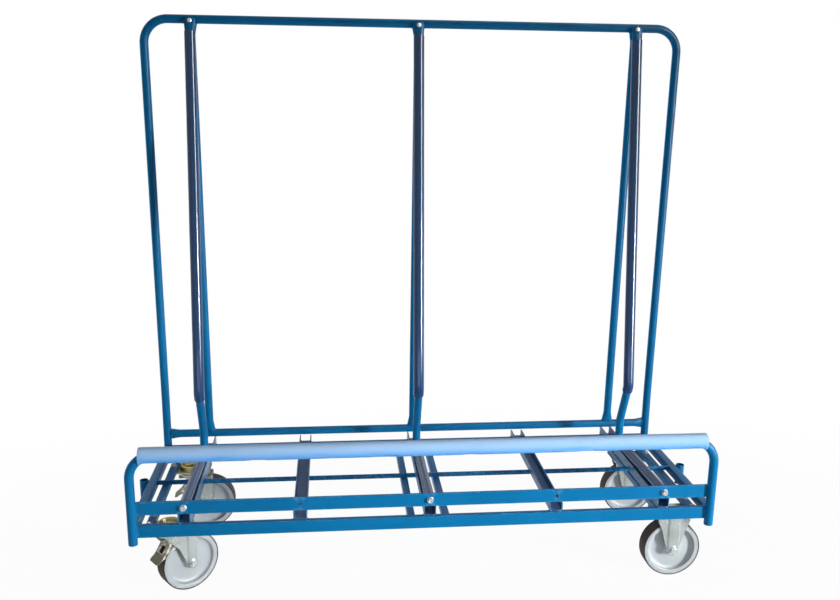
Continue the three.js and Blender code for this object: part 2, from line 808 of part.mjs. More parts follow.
function buildSwivelCaster(label, y, turnDegrees) {
  const caster = new THREE.Group();
  caster.position.set(-casterX, y, 0);
  cart.add(caster);
  add(caster, `swivel_plate_${label}`, swivelPlateGeometry(), zincGold);
  const swivel = new THREE.Group();
  swivel.rotation.z = THREE.MathUtils.degToRad(turnDegrees);
  caster.add(swivel);
  add(swivel, `fork_${label}`, swivelForkGeometry(), zincGrey);
  addWheel(swivel, label, casterTrail);
  const pedal = new THREE.Group();
  pedal.position.set(pedalPivotX, 0, pedalPivotZ);
  pedal.rotation.y = -THREE.MathUtils.degToRad(pedalSlope);
  swivel.add(pedal);
  add(pedal, `brake_pedal_${label}`, pedalGeometry(), zincGold);
}

buildRails();
buildLowerBars();
buildSideRails();
buildUpperBars();
buildKickBar();
buildGuard();
buildRearFrame();
buildCarriers();
buildRigidCaster("front_right", casterFrontY);
buildRigidCaster("rear_right", casterRearY);
buildSwivelCaster("front_left", casterFrontY, frontSwivelTurn);
buildSwivelCaster("rear_left", casterRearY, rearSwivelTurn);

export default cart;
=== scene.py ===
"""Sheet goods cart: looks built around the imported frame, in metres, floor at z = 0."""

import logging
import math
from collections.abc import Callable, Sequence
from dataclasses import dataclass, field
from enum import Enum

import bmesh
import bpy
from mathutils import Matrix, Vector, noise

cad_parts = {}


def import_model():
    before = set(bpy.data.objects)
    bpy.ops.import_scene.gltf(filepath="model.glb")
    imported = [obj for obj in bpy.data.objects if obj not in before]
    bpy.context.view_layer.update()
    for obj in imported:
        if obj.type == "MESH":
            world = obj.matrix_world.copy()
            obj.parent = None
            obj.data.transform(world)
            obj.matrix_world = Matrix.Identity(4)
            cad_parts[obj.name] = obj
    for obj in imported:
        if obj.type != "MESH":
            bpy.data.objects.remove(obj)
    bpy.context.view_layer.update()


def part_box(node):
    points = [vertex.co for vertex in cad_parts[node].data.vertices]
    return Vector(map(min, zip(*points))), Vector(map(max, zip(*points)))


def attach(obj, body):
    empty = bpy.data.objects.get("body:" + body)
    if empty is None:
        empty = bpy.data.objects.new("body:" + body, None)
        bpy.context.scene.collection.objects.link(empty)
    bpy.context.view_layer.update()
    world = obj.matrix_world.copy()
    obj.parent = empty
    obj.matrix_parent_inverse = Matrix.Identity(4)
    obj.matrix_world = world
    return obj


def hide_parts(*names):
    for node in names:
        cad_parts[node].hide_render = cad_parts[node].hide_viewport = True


LOG = logging.getLogger("cart")
# The front rail's face lies this far in front of the frame's origin.
FRAME_SHIFT = 0.321
# Radius and wall of the bent frame tube, and the faces around it.
TUBE_RADIUS = 0.0150
TUBE_WALL = 0.0025
TUBE_SIDES = 32
# Mesh attribute that says how near a point is to a rubbed edge; on the pedal's turned flanges it also
# places a painted highlight.
EDGE_MARK = "edge"
# Share of the cover of dust and painted sheen that is added to the roughness.
DUST_AND_SHEEN_DULLS = 0.35
# The two lower bars of each station.
BAR_PAIR = "ab"
# Numbers that belong together, such as a size, a place or a point with its edge mark.
Pair = tuple[float, float]
Triple = tuple[float, float, float]
X_AXIS = Vector((1, 0, 0))
Y_AXIS = Vector((0, 1, 0))
Z_AXIS = Vector((0, 0, 1))


class Slot(Enum):
    """Material slots of the record."""

    PAINT = "blue_paint"
    SLEEVE = "sleeve_plastic"
    FOAM = "guard_foam"
    ZINC = "zinc_plate"
    GOLD = "yellow_zinc"
    WHEEL = "wheel_grey"
    TREAD = "tyre_tread"


class Place(Enum):
    """A place on the cart whose name is a word in node names."""

    @property
    def label(self) -> str:
        """The place's word in node names."""
        return self.name.lower()


class End(Place):
    """The two ends of the cart, by the sign of x."""

    LEFT = -1
    RIGHT = 1


class Station(Place):
    """The three places along the cart where a carrier stands."""

    LEFT = -1
    CENTRE = 0
    RIGHT = 1


class Row(Place):
    """The two rows of casters, by the sign of y."""

    FRONT = -1
    REAR = 1


# Shader groups and finishes


@dataclass(frozen=True)
class NodeDesk:
    """Adds and joins the nodes of one node tree."""

    tree: bpy.types.NodeTree

    def add(self, kind: str, **settings: object) -> bpy.types.Node:
        """Adds a node.

        Args:
            kind: Blender's node type.
            settings: Node properties to set.

        Returns:
            The new node.
        """
        node = self.tree.nodes.new(kind)
        for name, value in settings.items():
            setattr(node, name, value)
        return node

    def join(self, source: object, target: object) -> None:
        """Links an output to an input, or sets the input where the source is a plain value.

        Args:
            source: An output socket or a value.
            target: The input socket.
        """
        if isinstance(source, bpy.types.NodeSocket):
            self.tree.links.new(source, target)
        else:
            target.default_value = source

    def spot(self) -> object:
        """Adds the coordinates in the piece's own frame."""
        return self.add("ShaderNodeTexCoord").outputs["Object"]

    def math(self, operation: str, first: object, second: object = 0.0, clamp: bool = False) -> object:
        """Adds a math node.

        Args:
            operation: Blender's math operation.
            first: First value or socket.
            second: Second value or socket.
            clamp: Whether the result is held between 0 and 1.

        Returns:
            The result socket.
        """
        node = self.add("ShaderNodeMath", operation=operation, use_clamp=clamp)
        self.join(first, node.inputs[0])
        self.join(second, node.inputs[1])
        return node.outputs[0]

    def mix(self, factor: object, first: object, second: object, blend: str = "MIX") -> object:
        """Mixes two colours.

        Args:
            factor: Share of the second colour.
            first: First colour.
            second: Second colour.
            blend: Blend type.

        Returns:
            The mixed colour's socket.
        """
        node = self.add("ShaderNodeMix", data_type="RGBA", blend_type=blend)
        self.join(factor, node.inputs[0])
        self.join(first, node.inputs[6])
        self.join(second, node.inputs[7])
        return node.outputs[2]

    def noise(self, vector: object, scale: object, detail: float = 3.0, rough: float = 0.55) -> object:
        """Adds a noise texture.

        Args:
            vector: Coordinate socket.
            scale: Cells per metre.
            detail: Octaves.
            rough: How strong the fine octaves are.

        Returns:
            The noise value's socket.
        """
        node = self.add("ShaderNodeTexNoise")
        self.join(vector, node.inputs["Vector"])
        self.join(scale, node.inputs["Scale"])
        node.inputs["Detail"].default_value = detail
        node.inputs["Roughness"].default_value = rough
        return node.outputs[0]

    def ramp(self, value: object, low: object, high: object, to_low: float = 0.0,
             to_high: float = 1.0) -> object:
        """Maps a value from one range to another, smoothly and clamped.

        Args:
            value: The value's socket.
            low: Start of the range, a value or a socket.
            high: End of the range, a value or a socket.
            to_low: Result at the start.
            to_high: Result at the end.

        Returns:
            The result socket.
        """
        node = self.add("ShaderNodeMapRange", interpolation_type="SMOOTHSTEP")
        self.join(value, node.inputs[0])
        for index, number in enumerate((low, high, to_low, to_high), start=1):
            self.join(number, node.inputs[index])
        return node.outputs[0]


class EffectGroup:
    """A shader group with named sockets, built once and shared by finishes."""

    name = "effect"
    inputs: tuple[tuple[str, str, object], ...] = ()
    outputs: tuple[tuple[str, str], ...] = ()

    @classmethod
    def tree(cls) -> bpy.types.NodeTree:
        """Builds the group on first use.

        Returns:
            The group's node tree.
        """
        found = bpy.data.node_groups.get(cls.name)
        if found:
            return found
        tree = bpy.data.node_groups.new(cls.name, "ShaderNodeTree")
        for label, kind, value in cls.inputs:
            socket = tree.interface.new_socket(label, in_out="INPUT", socket_type=kind)
            socket.default_value = value
        for label, kind in cls.outputs:
            tree.interface.new_socket(label, in_out="OUTPUT", socket_type=kind)
        desk = NodeDesk(tree)
        cls.wire(desk, desk.add("NodeGroupInput").outputs, desk.add("NodeGroupOutput").inputs)
        return tree

    @classmethod
    def wire(cls, desk: NodeDesk, given: object, result: object) -> None:
        """Fills the group with nodes between its given inputs and its result."""
        raise NotImplementedError

    @classmethod
    def place(cls, desk: NodeDesk, **values: object) -> bpy.types.Node:
        """Places the group in a material.

        Args:
            desk: Desk of the material's tree.
            values: Input values or sockets by name, with spaces written as underscores.

        Returns:
            The group node.
        """
        node = desk.add("ShaderNodeGroup", node_tree=cls.tree())
        for label, value in values.items():
            desk.join(value, node.inputs[label.replace("_", " ")])
        return node


COLOUR = "NodeSocketColor"
NUMBER = "NodeSocketFloat"
WHITE = (1.0, 1.0, 1.0, 1.0)
BLACK = (0.0, 0.0, 0.0, 1.0)


class ColourDrift(EffectGroup):
    """Slow changes of tone over a surface, with fine speckle."""

    name = "colour_drift"
    inputs = (("Color", COLOUR, WHITE), ("Second", COLOUR, WHITE), ("Scale", NUMBER, 6.0),
              ("Speckle", NUMBER, 0.06))
    outputs = (("Color", COLOUR),)

    @classmethod
    def wire(cls, desk: NodeDesk, given: object, result: object) -> None:
        """Mixes two tones by slow noise and darkens them by fine noise.

        Args:
            desk: Desk of the group's tree.
            given: Sockets of the group's inputs.
            result: Sockets of the group's outputs.
        """
        place = desk.spot()
        slow = desk.ramp(desk.noise(place, given["Scale"], 4.0), 0.32, 0.68)
        tone = desk.mix(slow, given["Color"], given["Second"])
        fine = desk.ramp(desk.noise(place, 650.0, 2.0), 0.35, 0.75)
        shade = desk.math("MULTIPLY", fine, given["Speckle"])
        desk.join(desk.mix(shade, tone, BLACK), result["Color"])


class DustAndSheen(EffectGroup):
    """A pale film on faces that look up: dust, which on the foam is mostly painted light from above and
    sheen and on the deck bars partly a painted reflection.
    """

    name = "dust_and_sheen_film"
    inputs = (("Color", COLOUR, WHITE), ("Dust", COLOUR, WHITE), ("Amount", NUMBER, 0.2),
              ("Start", NUMBER, 0.35), ("Even", NUMBER, 0.0))
    outputs = (("Color", COLOUR), ("Mask", NUMBER))

    @classmethod
    def wire(cls, desk: NodeDesk, given: object, result: object) -> None:
        """Lays the film of dust and painted sheen by the normal's height and a blotchy noise.

        Args:
            desk: Desk of the group's tree.
            given: Sockets of the group's inputs.
            result: Sockets of the group's outputs.
        """
        place = desk.spot()
        normal = desk.add("ShaderNodeNewGeometry").outputs["Normal"]
        split = desk.add("ShaderNodeSeparateXYZ")
        desk.join(normal, split.inputs[0])
        # Faces that look up take the film: dust, and on the foam and deck bars painted light as well.
        upward = desk.ramp(split.outputs[2], given["Start"], 0.95)
        blotch = desk.ramp(desk.noise(place, 28.0, 5.0, 0.65), 0.25, 0.7, 0.35, 1.0)
        level = desk.math("ADD", blotch, given["Even"], clamp=True)
        cover = desk.math("MULTIPLY", desk.math("MULTIPLY", upward, level), given["Amount"], clamp=True)
        desk.join(desk.mix(cover, given["Color"], given["Dust"]), result["Color"])
        desk.join(cover, result["Mask"])


class EdgeWearAndGlint(EffectGroup):
    """Rubbed colour along marked edges, which on the pedal's flanges is also a painted highlight."""

    name = "edge_wear_and_glint"
    inputs = (("Color", COLOUR, WHITE), ("Bare", COLOUR, WHITE), ("Amount", NUMBER, 0.5),
              ("Scale", NUMBER, 60.0))
    outputs = (("Color", COLOUR),)

    @classmethod
    def wire(cls, desk: NodeDesk, given: object, result: object) -> None:
        """Breaks up the edge mark with noise and shows the worn colour there, a painted highlight as well
        on the pedal's flanges.

        Args:
            desk: Desk of the group's tree.
            given: Sockets of the group's inputs.
            result: Sockets of the group's outputs.
        """
        place = desk.spot()
        mark = desk.add("ShaderNodeAttribute", attribute_name=EDGE_MARK).outputs["Fac"]
        rough = desk.ramp(desk.noise(place, given["Scale"], 6.0, 0.7), 0.42, 0.66)
        worn_and_glint = desk.math("MULTIPLY", desk.ramp(mark, 0.45, 1.0), rough)
        cover = desk.math("MULTIPLY", worn_and_glint, given["Amount"], clamp=True)
        desk.join(desk.mix(cover, given["Color"], given["Bare"]), result["Color"])


class SurfaceGrain(EffectGroup):
    """Fine relief and a changing polish."""

    name = "surface_grain"
    inputs = (("Scale", NUMBER, 400.0), ("Base", NUMBER, 0.4), ("Spread", NUMBER, 0.15))
    outputs = (("Height", NUMBER), ("Roughness", NUMBER))

    @classmethod
    def wire(cls, desk: NodeDesk, given: object, result: object) -> None:
        """Gives relief at the grain's scale and roughness by wider smears.

        Args:
            desk: Desk of the group's tree.
            given: Sockets of the group's inputs.
            result: Sockets of the group's outputs.
        """
        place = desk.spot()
        desk.join(desk.noise(place, given["Scale"], 3.0), result["Height"])
        smear = desk.math("SUBTRACT", desk.noise(place, 17.0, 6.0, 0.62), 0.5)
        swing = desk.math("MULTIPLY", smear, given["Spread"])
        desk.join(desk.math("ADD", given["Base"], swing, clamp=True), result["Roughness"])


class Scuffs(EffectGroup):
    """Thin scratches that run mostly one way."""

    name = "scuffs"
    inputs = (("Color", COLOUR, WHITE), ("Bare", COLOUR, WHITE), ("Amount", NUMBER, 0.4))
    outputs = (("Color", COLOUR),)

    @classmethod
    def wire(cls, desk: NodeDesk, given: object, result: object) -> None:
        """Draws stretched noise lines and lets them show only in patches.

        Args:
            desk: Desk of the group's tree.
            given: Sockets of the group's inputs.
            result: Sockets of the group's outputs.
        """
        place = desk.spot()
        stretch = desk.add("ShaderNodeMapping")
        stretch.inputs["Rotation"].default_value = (0.3, 0.5, 0.8)
        stretch.inputs["Scale"].default_value = (22.0, 480.0, 520.0)
        desk.join(place, stretch.inputs["Vector"])
        lines = desk.ramp(desk.noise(stretch.outputs[0], 1.0, 2.0), 0.66, 0.74)
        patch = desk.ramp(desk.noise(place, 9.0, 3.0), 0.5, 0.66)
        cover = desk.math("MULTIPLY", desk.math("MULTIPLY", lines, patch), given["Amount"], clamp=True)
        desk.join(desk.mix(cover, given["Color"], given["Bare"]), result["Color"])


def rgba(colour: Triple) -> tuple[float, float, float, float]:
    """Adds full cover to a colour."""
    return (*colour, 1.0)


@dataclass(frozen=True)
class Finish:
    """A surface finish: colours, polish, relief, edge wear that is also a painted highlight on the pedal's
    flanges, and a film on up-facing faces that is dust and, on the foam and deck bars, painted light as
    well.
    """

    name: str
    slot: Slot
    colour: Triple
    second: Triple
    drift_scale: float = 5.0
    speckle: float = 0.06
    metallic: float = 0.0
    roughness: float = 0.4
    spread: float = 0.2
    grain: float = 420.0
    relief: float = 0.12
    relief_depth: float = 0.0004
    dust: float = 0.05
    dust_and_sheen_colour: Triple = (0.42, 0.40, 0.42)
    dust_and_sheen_start: float = 0.35
    dust_and_sheen_even: float = 0.0
    wear_and_glint: float = 0.5
    bare: Triple = (0.25, 0.42, 0.55)
    scuff: float = 0.4
    specular: float = 0.5

    def material(self) -> bpy.types.Material:
        """Builds the material on first use.

        Returns:
            The finish as a material.
        """
        found = bpy.data.materials.get(self.name)
        if found:
            return found
        made = bpy.data.materials.new(self.name)
        made.use_nodes = True
        made.diffuse_color = rgba(self.colour)
        desk = NodeDesk(made.node_tree)
        shader = made.node_tree.nodes["Principled BSDF"]
        shader.inputs["Metallic"].default_value = self.metallic
        shader.inputs["Specular IOR Level"].default_value = self.specular
        drift = ColourDrift.place(desk, Color=rgba(self.colour), Second=rgba(self.second),
                                  Scale=self.drift_scale, Speckle=self.speckle)
        scuff = Scuffs.place(desk, Color=drift.outputs["Color"], Bare=rgba(self.bare), Amount=self.scuff)
        wear_and_glint = EdgeWearAndGlint.place(desk, Color=scuff.outputs["Color"], Bare=rgba(self.bare), Amount=self.wear_and_glint)
        dust = DustAndSheen.place(desk, Color=wear_and_glint.outputs["Color"], Dust=rgba(self.dust_and_sheen_colour),
                              Amount=self.dust, Start=self.dust_and_sheen_start, Even=self.dust_and_sheen_even)
        grain = SurfaceGrain.place(desk, Scale=self.grain, Base=self.roughness, Spread=self.spread)
        desk.join(dust.outputs["Color"], shader.inputs["Base Color"])
        dull = desk.math("MULTIPLY", dust.outputs["Mask"], DUST_AND_SHEEN_DULLS)
        rough = desk.math("ADD", grain.outputs["Roughness"], dull, clamp=True)
        desk.join(rough, shader.inputs["Roughness"])
        bump = desk.add("ShaderNodeBump")
        bump.inputs["Strength"].default_value = self.relief
        bump.inputs["Distance"].default_value = self.relief_depth
        desk.join(grain.outputs["Height"], bump.inputs["Height"])
        desk.join(bump.outputs[0], shader.inputs["Normal"])
        return made


BLUE = Finish("cart_blue_paint", Slot.PAINT, (0.001, 0.143, 0.338), (0.002, 0.158, 0.370),
              roughness=0.34, wear_and_glint=0.30, scuff=0.10, specular=0.08)
# The lilac grey film on up-facing faces of the deck and bar paints is partly dust and partly a painted
# reflection.
BLUE_DECK = Finish("deck_blue_paint", Slot.PAINT, (0.004, 0.100, 0.255), (0.022, 0.105, 0.225),
                   roughness=0.34, dust=0.38, dust_and_sheen_colour=(0.17, 0.20, 0.34), specular=0.12)
BLUE_BAR = Finish("bar_blue_paint", Slot.PAINT, (0.003, 0.165, 0.385), (0.014, 0.160, 0.350),
                  roughness=0.34, dust=0.16, dust_and_sheen_colour=(0.17, 0.20, 0.34), specular=0.12)
INDIGO = Finish("sleeve_indigo", Slot.SLEEVE, (0.003, 0.054, 0.150), (0.010, 0.050, 0.160),
                roughness=0.12, spread=0.10, grain=90.0, relief=0.16, relief_depth=0.0006, dust=0.10,
                dust_and_sheen_colour=(0.12, 0.14, 0.26), bare=(0.10, 0.12, 0.22), wear_and_glint=0.35, scuff=0.25,
                specular=0.28)
# The foam's pale film on all but its downward faces is mostly painted light from above and sheen, with some
# dust; its own colour is the deeper blue.
FOAM_BLUE = Finish("guard_foam_blue", Slot.FOAM, (0.100, 0.360, 0.820), (0.110, 0.375, 0.830),
                   drift_scale=9.0, speckle=0.08, roughness=0.82, spread=0.1, grain=700.0, relief=0.30,
                   relief_depth=0.0006, dust=0.92, dust_and_sheen_colour=(0.46, 0.69, 0.98), dust_and_sheen_start=-0.80,
                   dust_and_sheen_even=0.50, bare=(0.10, 0.28, 0.68), scuff=0.15, specular=0.15)
ZINC = Finish("clear_zinc", Slot.ZINC, (0.43, 0.475, 0.475), (0.36, 0.39, 0.37), drift_scale=14.0,
              metallic=0.60, roughness=0.26, spread=0.15, grain=260.0, relief=0.05, dust=0.03,
              bare=(0.66, 0.69, 0.69), wear_and_glint=0.30, scuff=0.10)
BRIGHT = Finish("bright_zinc", Slot.ZINC, (0.50, 0.53, 0.53), (0.43, 0.46, 0.46), drift_scale=120.0,
                speckle=0.08, metallic=0.50, roughness=0.30, grain=300.0, relief=0.08, dust=0.0,
                bare=(0.85, 0.86, 0.85), wear_and_glint=0.7, scuff=0.25)
GOLD = Finish("yellow_zinc", Slot.GOLD, (0.42, 0.33, 0.10), (0.30, 0.27, 0.12), drift_scale=45.0,
              speckle=0.12, metallic=0.6, roughness=0.34, spread=0.25, grain=260.0, relief=0.10,
              bare=(0.66, 0.60, 0.42), scuff=0.35)
# The pedal's near-white worn colour on edges and turned flanges is partly wear and partly a painted
# highlight where the flange faces the light.
OLIVE = Finish("olive_zinc", Slot.GOLD, (0.150, 0.140, 0.085), (0.200, 0.185, 0.110), drift_scale=55.0,
               speckle=0.12, metallic=0.3, roughness=0.42, spread=0.25, grain=260.0,
               bare=(0.86, 0.86, 0.81), wear_and_glint=0.95, scuff=0.2, specular=0.4)
OLIVE_TREAD = Finish("olive_zinc_ribbed", Slot.GOLD, (0.140, 0.132, 0.075), (0.185, 0.172, 0.100),
                     drift_scale=90.0, speckle=0.3, metallic=0.25, roughness=0.5, spread=0.25,
                     relief=0.9, relief_depth=0.0012, bare=(0.42, 0.40, 0.30), wear_and_glint=0.6, specular=0.4)
GREY = Finish("wheel_grey_plastic", Slot.WHEEL, (0.40, 0.435, 0.455), (0.37, 0.405, 0.425),
              drift_scale=14.0, speckle=0.04, roughness=0.42, grain=520.0, relief=0.10,
              bare=(0.70, 0.72, 0.73), wear_and_glint=0.4, scuff=0.25, specular=0.35)
TREAD = Finish("brown_tread", Slot.TREAD, (0.022, 0.014, 0.013), (0.036, 0.023, 0.020),
               drift_scale=20.0, speckle=0.2, roughness=0.66, grain=600.0, relief=0.3,
               relief_depth=0.0006, bare=(0.10, 0.08, 0.07), wear_and_glint=0.4, specular=0.3)


# Mesh building


@dataclass
class Draft:
    """Points, faces and edge marks gathered before they become one mesh."""

    points: list[Vector] = field(default_factory=list)
    faces: list[tuple[int, ...]] = field(default_factory=list)
    marks: list[float] = field(default_factory=list)

    def ring(self, points: Sequence[Vector], marks: float | Sequence[float] = 0.0) -> list[int]:
        """Adds a ring of points.

        Args:
            points: The ring's points in order.
            marks: One edge mark for all of them, or one for each.

        Returns:
            The points' numbers.
        """
        first = len(self.points)
        self.points.extend(Vector(p) for p in points)
        self.marks.extend(marks if isinstance(marks, Sequence) else [marks] * len(points))
        return list(range(first, len(self.points)))

    def skin(self, rings: Sequence[list[int]], closed: bool = False) -> None:
        """Joins rings one after another.

        Args:
            rings: Rings with the same number of points.
            closed: Joins the last ring to the first; otherwise both ends are capped.
        """
        pairs = list(zip(rings, rings[1:]))
        if closed:
            pairs.append((rings[-1], rings[0]))
        else:
            self.faces.append(tuple(reversed(rings[0])))
            self.faces.append(tuple(rings[-1]))
        for low, high in pairs:
            self.band(low, high)

    def band(self, low: list[int], high: list[int]) -> None:
        """Joins two closed rings with faces."""
        for index in range(len(low)):
            after = (index + 1) % len(low)
            self.faces.append((low[index], low[after], high[after], high[index]))

    def strip(self, near: list[int], far: list[int]) -> None:
        """Joins two open rows of points with faces."""
        for index in range(len(near) - 1):
            self.faces.append((near[index], far[index], far[index + 1], near[index + 1]))

    def close_sheet(self, near: Sequence[list[int]], far: Sequence[list[int]]) -> None:
        """Joins two grids of points to one thin closed sheet.

        Args:
            near: Rows of the outer side.
            far: Rows of the inner side.
        """
        for grid in (near, far):
            for upper, lower in zip(grid, grid[1:]):
                self.strip(upper, lower)
        self.strip(near[0], far[0])
        self.strip(near[-1], far[-1])
        for column in (0, -1):
            self.strip([row[column] for row in near], [row[column] for row in far])

    def piece(self, name: str, body: str, finish: Finish, *nodes: str,
              crease: float = 38.0) -> bpy.types.Object:
        """Makes the object, gives it its finish and ties it to its body.

        Args:
            name: The object's name.
            body: The body it rides on.
            finish: Its finish.
            nodes: Nodes of the frame that it stands for.
            crease: Edges sharper than this many degrees stay sharp.

        Returns:
            The new object.
        """
        mesh = bpy.data.meshes.new(name)
        mesh.from_pydata([tuple(p) for p in self.points], [], self.faces)
        shape = bmesh.new()
        shape.from_mesh(mesh)
        bmesh.ops.recalc_face_normals(shape, faces=shape.faces)
        shape.to_mesh(mesh)
        shape.free()
        mark = mesh.attributes.new(EDGE_MARK, "FLOAT", "POINT")
        mark.data.foreach_set("value", self.marks)
        mesh.shade_smooth()
        mesh.set_sharp_from_angle(angle=math.radians(crease))
        mesh.materials.append(finish.material())
        made = bpy.data.objects.new(name, mesh)
        bpy.context.scene.collection.objects.link(made)
        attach(made, body)
        if nodes:
            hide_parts(*nodes)
        LOG.info("%s: %d points on %s", name, len(self.points), body)
        return made


@dataclass(frozen=True)
class Seat:
    """A place and two cross directions in which sections are drawn."""

    origin: Vector
    across: Vector
    up: Vector

    @property
    def along(self) -> Vector:
        """The direction that leaves the section's plane."""
        return self.across.cross(self.up)

    def at(self, u: float, v: float, w: float = 0.0) -> Vector:
        """A point by its three local lengths."""
        return self.origin + self.across * u + self.up * v + self.along * w


def middle_of(node: str) -> Vector:
    """Middle of a node's box."""
    low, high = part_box(node)
    return (low + high) / 2


def smooth(share: float) -> float:
    """Eases a share between 0 and 1 at both ends."""
    return share * share * (3 - 2 * share)


def circle(radius: float, sides: int) -> list[Pair]:
    """Points of a circle about zero."""
    step = 2 * math.pi / sides
    return [(radius * math.cos(step * i), radius * math.sin(step * i)) for i in range(sides)]


def rounded_rect(width: float, height: float, radius: float, inset: float = 0.0,
                 steps: int = 4) -> tuple[list[Pair], list[float]]:
    """A rectangle with round corners.

    Args:
        width: Full width.
        height: Full height.
        radius: Corner radius.
        inset: How far the outline is drawn in.
        steps: Faces in each corner.

    Returns:
        The points and an edge mark for each, strongest in the middle of a corner.
    """
    points, marks = [], []
    for corner, (sx, sy) in enumerate(((1, 1), (-1, 1), (-1, -1), (1, -1))):
        middle = (sx * (width / 2 - radius), sy * (height / 2 - radius))
        for step in range(steps + 1):
            angle = math.pi / 2 * (corner + step / steps)
            reach = max(radius - inset, 0.00005)
            points.append((middle[0] + reach * math.cos(angle), middle[1] + reach * math.sin(angle)))
            marks.append(1.0 - abs(2 * step / steps - 1) * 0.7)
    return points, marks


def box_tube(draft: Draft, start: Vector, end: Vector, size: Pair, wall: float,
             radius: float, lip: float = 0.0006) -> None:
    """Adds a level rectangular tube with round corners and open ends.

    Args:
        draft: Where it goes.
        start: Middle of one end.
        end: Middle of the other end.
        size: Width and height.
        wall: Wall thickness.
        radius: Corner radius.
        lip: Rounding of the end edges.
    """
    along = (end - start).normalized()
    across = along.cross(Z_AXIS).normalized()
    outer, marks = rounded_rect(*size, radius)
    trimmed, _ = rounded_rect(*size, radius, lip)
    inner, _ = rounded_rect(size[0] - 2 * wall, size[1] - 2 * wall, max(radius - wall, lip))

    def ring(section: list[Pair], place: Vector, mark: float | list[float]) -> list[int]:
        """One ring of the tube at a place along it."""
        return draft.ring([place + across * u + Z_AXIS * v for u, v in section], mark)

    rings = [ring(trimmed, start, 1.0), ring(outer, start + along * lip, marks),
             ring(outer, end - along * lip, marks), ring(trimmed, end, 1.0), ring(inner, end, 0.6),
             ring(inner, start, 0.6)]
    draft.skin(rings, closed=True)


Path = list[tuple[Vector, Vector]]


def bent_path(corners: Sequence[Vector], radii: Sequence[float], step: float = 5.0) -> Path:
    """A centre line with round bends.

    Args:
        corners: Corner points in order.
        radii: Bend radius at each inner corner; zero leaves a plain station there.
        step: Degrees between stations in a bend.

    Returns:
        Stations as pairs of point and direction.
    """
    path = [(corners[0].copy(), (corners[1] - corners[0]).normalized())]
    for before, corner, after, radius in zip(corners, corners[1:], corners[2:], radii):
        inward, outward = (corner - before).normalized(), (after - corner).normalized()
        turn = inward.angle(outward)
        if radius == 0 or turn < 1e-4:
            path.append((corner.copy(), (inward + outward).normalized()))
            continue
        side = (outward - inward * outward.dot(inward)).normalized()
        start = corner - inward * radius * math.tan(turn / 2)
        count = max(2, math.ceil(math.degrees(turn) / step))
        for index in range(count + 1):
            angle = turn * index / count
            place = start + inward * radius * math.sin(angle) + side * radius * (1 - math.cos(angle))
            path.append((place, inward * math.cos(angle) + side * math.sin(angle)))
    path.append((corners[-1].copy(), (corners[-1] - corners[-2]).normalized()))
    return path


def straight_path(start: Vector, end: Vector, stops: Sequence[float]) -> Path:
    """A straight line with stations at the given distances from its start and its two ends.

    Args:
        start: First point.
        end: Last point.
        stops: Distances from the start.

    Returns:
        Stations as pairs of point and direction.
    """
    length, along = (end - start).length, (end - start).normalized()
    places = sorted({0.0, length, *(s for s in stops if 0 < s < length)})
    return [(start + along * s, along.copy()) for s in places]


def round_section(length: float, distance: float, radius: float) -> Pair:
    """The same round section everywhere."""
    return radius, radius


def tube(draft: Draft, path: Path, reference: Vector, radius: float, wall: float, sides: int = TUBE_SIDES,
         lip: float = 0.0006,
         section: Callable[[float, float, float], Pair] = round_section) -> None:
    """Adds a hollow tube along a path.

    Args:
        draft: Where it goes.
        path: Stations of the centre line.
        reference: Direction of the section's first half axis.
        radius: Outer radius.
        wall: Wall thickness.
        sides: Faces around.
        lip: Rounding of the end edges.
        section: Gives the two half axes from the whole length, the distance along it and the radius.
    """
    distances = [0.0]
    for (before, _), (after, _) in zip(path, path[1:]):
        distances.append(distances[-1] + (after - before).length)
    outer, inner = [], []
    for index, ((place, along), distance) in enumerate(zip(path, distances)):
        across = (reference - along * reference.dot(along)).normalized()
        seat = Seat(place, across, along.cross(across))
        first, second = section(distances[-1], distance, radius)
        wide = [seat.at(u * first, v * second) for u, v in circle(1.0, sides)]
        narrow = [seat.at(u * (first - wall), v * (second - wall)) for u, v in circle(1.0, sides)]
        ending = index in (0, len(path) - 1)
        if ending:
            trim = [seat.at(u * (first - lip), v * (second - lip)) for u, v in circle(1.0, sides)]
            back = along * lip * (1 if index == 0 else -1)
            ring = [draft.ring(trim, 1.0), draft.ring([p + back for p in wide], 0.6)]
            outer.extend(ring if index == 0 else reversed(ring))
        else:
            outer.append(draft.ring(wide))
        inner.append(draft.ring(narrow, 0.5 if ending else 0.0))
    draft.skin(outer + list(reversed(inner)), closed=True)


def lathe(draft: Draft, seat: Seat, profile: Sequence[Triple], sides: int,
          closed: bool = False) -> None:
    """Turns a profile about a seat's long direction.

    Args:
        draft: Where it goes.
        seat: Place and directions; the profile's heights run along the seat.
        profile: Radius, height and edge mark of each point.
        sides: Faces around.
        closed: Whether the profile closes on itself; otherwise its ends are capped.
    """
    rings = []
    for radius, height, mark in profile:
        rings.append(draft.ring([seat.at(u, v, height) for u, v in circle(radius, sides)], mark))
    draft.skin(rings, closed)


@dataclass(frozen=True)
class HexBolt:
    """A hexagon head, or a nut, on a washer."""

    across: float
    height: float
    washer: float
    washer_height: float

    def add(self, draft: Draft, seat: Seat) -> None:
        """Adds the washer and the head, standing out along the seat.

        Args:
            draft: Where they go.
            seat: Place on the face and directions.
        """
        half, rise = self.washer / 2, self.washer_height
        lathe(draft, seat, [(half * 0.4, 0.0, 0.0), (half, 0.0, 0.5), (half, rise * 0.7, 1.0),
                            (half * 0.94, rise, 1.0), (half * 0.4, rise, 0.0)], 28)
        head, top = self.across / 2, rise + self.height
        lathe(draft, seat, [(head, rise, 0.6), (head, rise + self.height * 0.8, 0.8),
                            (head * 0.9, top, 1.0), (head * 0.62, top, 0.3),
                            (head * 0.58, rise + self.height * 0.9, 0.0)], 6)


